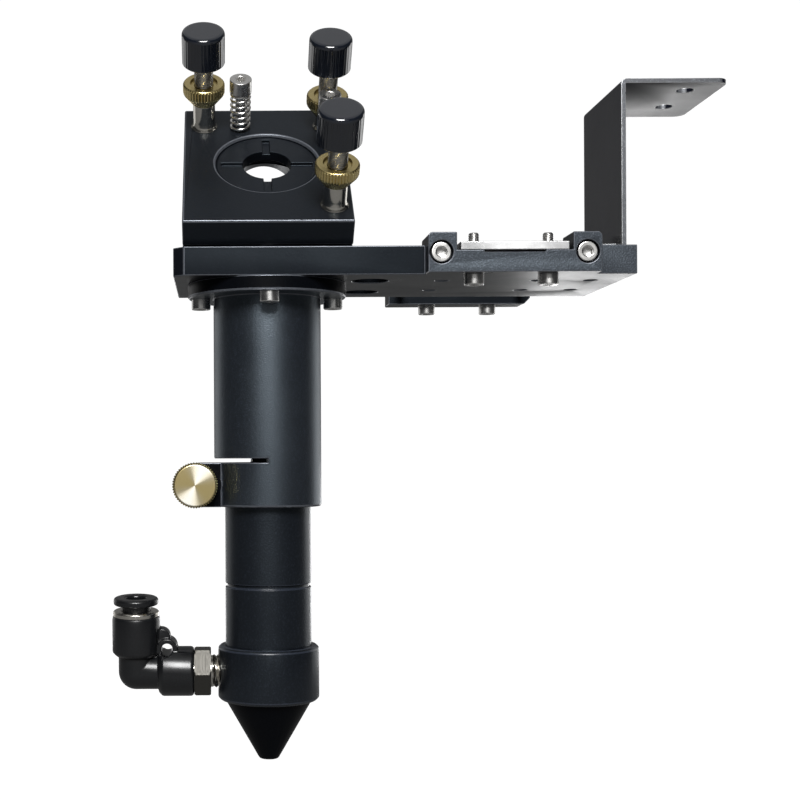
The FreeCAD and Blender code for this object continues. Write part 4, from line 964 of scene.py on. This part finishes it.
class HEAD_OT_fitting(bpy.types.Operator):
    """The push-in elbow: stem, elbow, rings and seal"""

    bl_idname = "head.fitting"
    bl_label = "Air fitting"

    def execute(self, context):
        finish = finishes_of(context.scene)
        high, middle = box_of("fitting_stem")[1:]
        start = BEAM[0] - high[0]
        hexagon_low = start + 7.5
        hexagon_high = hexagon_low + 4.8
        air_hole, pivot = 2.5, 4.0
        thread = threaded(4.85, start + 0.3, hexagon_low + 0.1, 1.27, 0.55, FINE_TURNS, 8)
        mouth = lathe([(air_hole, start + 11), (air_hole, start), (4.3, start), (4.55, start + 0.3)],
                      FINE_TURNS)
        section = soften([(4.6, hexagon_low), (7.0, hexagon_low), (7.6, hexagon_low + 0.45),
                          (7.6, hexagon_high - 0.45), (7.0, hexagon_high), (pivot, hexagon_high)],
                         0.05, closed=False)
        nut = hexagonal(lathe(section, 144), 13.0, np.arange(len(section)))
        tail = lathe([(pivot, hexagon_high), (pivot, hexagon_high + 11), (air_hole, hexagon_high + 11),
                      (air_hole, start + 11)], FINE_TURNS)
        grids = [(thread, False, 0), (mouth, False, 0), (nut, False, 1), (tail, False, 0)]
        grids = placed(grids, (BEAM[0], middle[1], middle[2]), -X, Z)
        dressed("Fitting stem", "fitting_stem", grids, [finish["Stem nickel"], finish["Hexagon nickel"]])
        plastic = [finish["Fitting plastic"]]
        milled("Elbow", "fitting_elbow", plastic, 0.0004, steps=4)
        milled("Fitting ring", "fitting_ring", [finish["Stem nickel"]], 0.00015)
        milled("Release ring", "release_ring", plastic, 0.0003, steps=4)
        milled("Grab ring", "grab_ring", [finish["Screw steel"]], 0.00005)
        milled("Hose seal", "hose_seal", [finish["Seal rubber"]], 0.0002)
        return {"FINISHED"}


def camera_level(tree, dim, bright):
    """A strength that is dim for the light it gives and bright where the camera sees it."""
    seen = tree.nodes.new("ShaderNodeLightPath")
    level = add_node(tree, "ShaderNodeMapRange", To_Min=dim, To_Max=bright)
    tree.links.new(seen.outputs["Is Camera Ray"], level.inputs["Value"])
    return level.outputs["Result"]


def pale_floor(settings):
    """A white floor, 8 m wide, that curves up behind the head through a quarter circle."""
    back, bend, half_wide = 1.6, 0.5, 4.0
    low = settings.floor
    turn = np.linspace(0, math.pi / 2, 24)
    curve = np.stack([back - bend + bend * np.sin(turn), low + bend - bend * np.cos(turn)], axis=-1)
    line = np.concatenate([[[-2.5, low]], curve, [[back, 3.0]]])
    sides = np.array([-half_wide, half_wide])
    points = np.stack([sides + 0 * line[:, :1], line[:, :1] + 0 * sides, line[:, 1:] + 0 * sides], axis=-1)
    first = np.arange(len(line) - 1) * 2
    faces = np.stack([first, first + 1, first + 3, first + 2], axis=-1)
    mesh = bpy.data.meshes.new("Pale floor")
    mesh.from_pydata(points.reshape(-1, 3).tolist(), [], faces.tolist())
    mesh.polygons.foreach_set("use_smooth", np.ones(len(mesh.polygons), bool))
    tree, shader = new_material("Pale floor", 0.9, 0.0, Base_Color=(0.08, 0.08, 0.08, 1),
                                Emission_Color=(1, 1, 1, 1))
    tree.links.new(camera_level(tree, settings.floor_glow, 1.0), shader.inputs["Emission Strength"])
    mesh.materials.append(bpy.data.materials["Pale floor"])
    floor = bpy.data.objects.new("Pale floor", mesh)
    bpy.context.scene.collection.objects.link(floor)


def white_room(scene, soft_light):
    """A white surround that gives the head a weak, even light."""
    world = bpy.data.worlds.new("Room")
    world.use_nodes = True
    room = world.node_tree.nodes["Background"]
    room.inputs["Color"].default_value = (0.95, 0.97, 1.0, 1)
    world.node_tree.links.new(camera_level(world.node_tree, soft_light, 1.05), room.inputs["Strength"])
    scene.world = world


def softbox(name, place, size, power):
    """An area light at a place, turned to the head's middle."""
    light = bpy.data.lights.new(name, "AREA")
    light.shape = "RECTANGLE"
    light.size, light.size_y = size
    light.energy = power
    lamp = bpy.data.objects.new(name, light)
    bpy.context.scene.collection.objects.link(lamp)
    lamp.visible_camera = False
    lamp.location = place
    lamp.rotation_euler = (Vector(HEAD_MIDDLE) - Vector(place)).to_track_quat("-Z", "Y").to_euler()


def photograph_camera(scene, settings):
    """The camera that sees the head as the photograph does."""
    lens = bpy.data.cameras.new("Camera")
    lens.lens = settings.lens
    lens.sensor_width = 36
    lens.sensor_fit = "HORIZONTAL"
    lens.shift_x, lens.shift_y = settings.shift
    lens.clip_start = 0.01
    camera = bpy.data.objects.new("Camera", lens)
    scene.collection.objects.link(camera)
    camera.location = settings.eye
    camera.rotation_euler = (math.pi / 2, settings.roll, 0)
    scene.camera = camera


class HEAD_OT_stage(bpy.types.Operator):
    """Pale floor that curves up behind, soft light and the photograph's camera"""

    bl_idname = "head.stage"
    bl_label = "Stage"

    def execute(self, context):
        settings = context.scene.head_stage
        pale_floor(settings)
        white_room(context.scene, settings.soft_light)
        for name, (place, size, power) in LIGHTS.items():
            softbox(name, place, size, power)
        photograph_camera(context.scene, settings)
        context.scene.view_settings.view_transform = "Standard"
        return {"FINISHED"}


class HEAD_PT_panel(bpy.types.Panel):
    """Buttons for each group of pieces"""

    bl_label = "Laser cutting head"
    bl_idname = "HEAD_PT_panel"
    bl_space_type = "VIEW_3D"
    bl_region_type = "UI"
    bl_category = "Laser head"

    def draw(self, context):
        for operator in OPERATORS:
            self.layout.operator(operator.bl_idname)
        for name in HeadShapes.__annotations__:
            self.layout.prop(context.scene.head_shapes, name)
        for name in HeadColours.__annotations__:
            self.layout.prop(context.scene.head_colours, name)
        for name in HeadStage.__annotations__:
            self.layout.prop(context.scene.head_stage, name)


OPERATORS = (
    HEAD_OT_plates,
    HEAD_OT_bracket,
    HEAD_OT_tubes,
    HEAD_OT_lens,
    HEAD_OT_adjusters,
    HEAD_OT_springs,
    HEAD_OT_screws,
    HEAD_OT_clamp,
    HEAD_OT_fitting,
    HEAD_OT_stage,
)
GROUPS = (HeadShapes, HeadColours, HeadStage)


def register():
    """Add the classes and their settings."""
    for item in (*GROUPS, *OPERATORS, HEAD_PT_panel):
        bpy.utils.register_class(item)
    bpy.types.Scene.head_shapes = bpy.props.PointerProperty(type=HeadShapes)
    bpy.types.Scene.head_colours = bpy.props.PointerProperty(type=HeadColours)
    bpy.types.Scene.head_stage = bpy.props.PointerProperty(type=HeadStage)


def unregister():
    """Take the classes and their settings away."""
    del bpy.types.Scene.head_stage
    del bpy.types.Scene.head_colours
    del bpy.types.Scene.head_shapes
    for item in (HEAD_PT_panel, *reversed(OPERATORS), *reversed(GROUPS)):
        bpy.utils.unregister_class(item)


def main():
    """Dress the head and set the stage."""
    register()
    bpy.ops.head.plates()
    bpy.ops.head.bracket()
    bpy.ops.head.tubes()
    bpy.ops.head.lens()
    bpy.ops.head.adjusters()
    bpy.ops.head.springs()
    bpy.ops.head.screws()
    bpy.ops.head.clamp()
    bpy.ops.head.fitting()
    bpy.ops.head.stage()


if __name__ == "__main__":
    main()
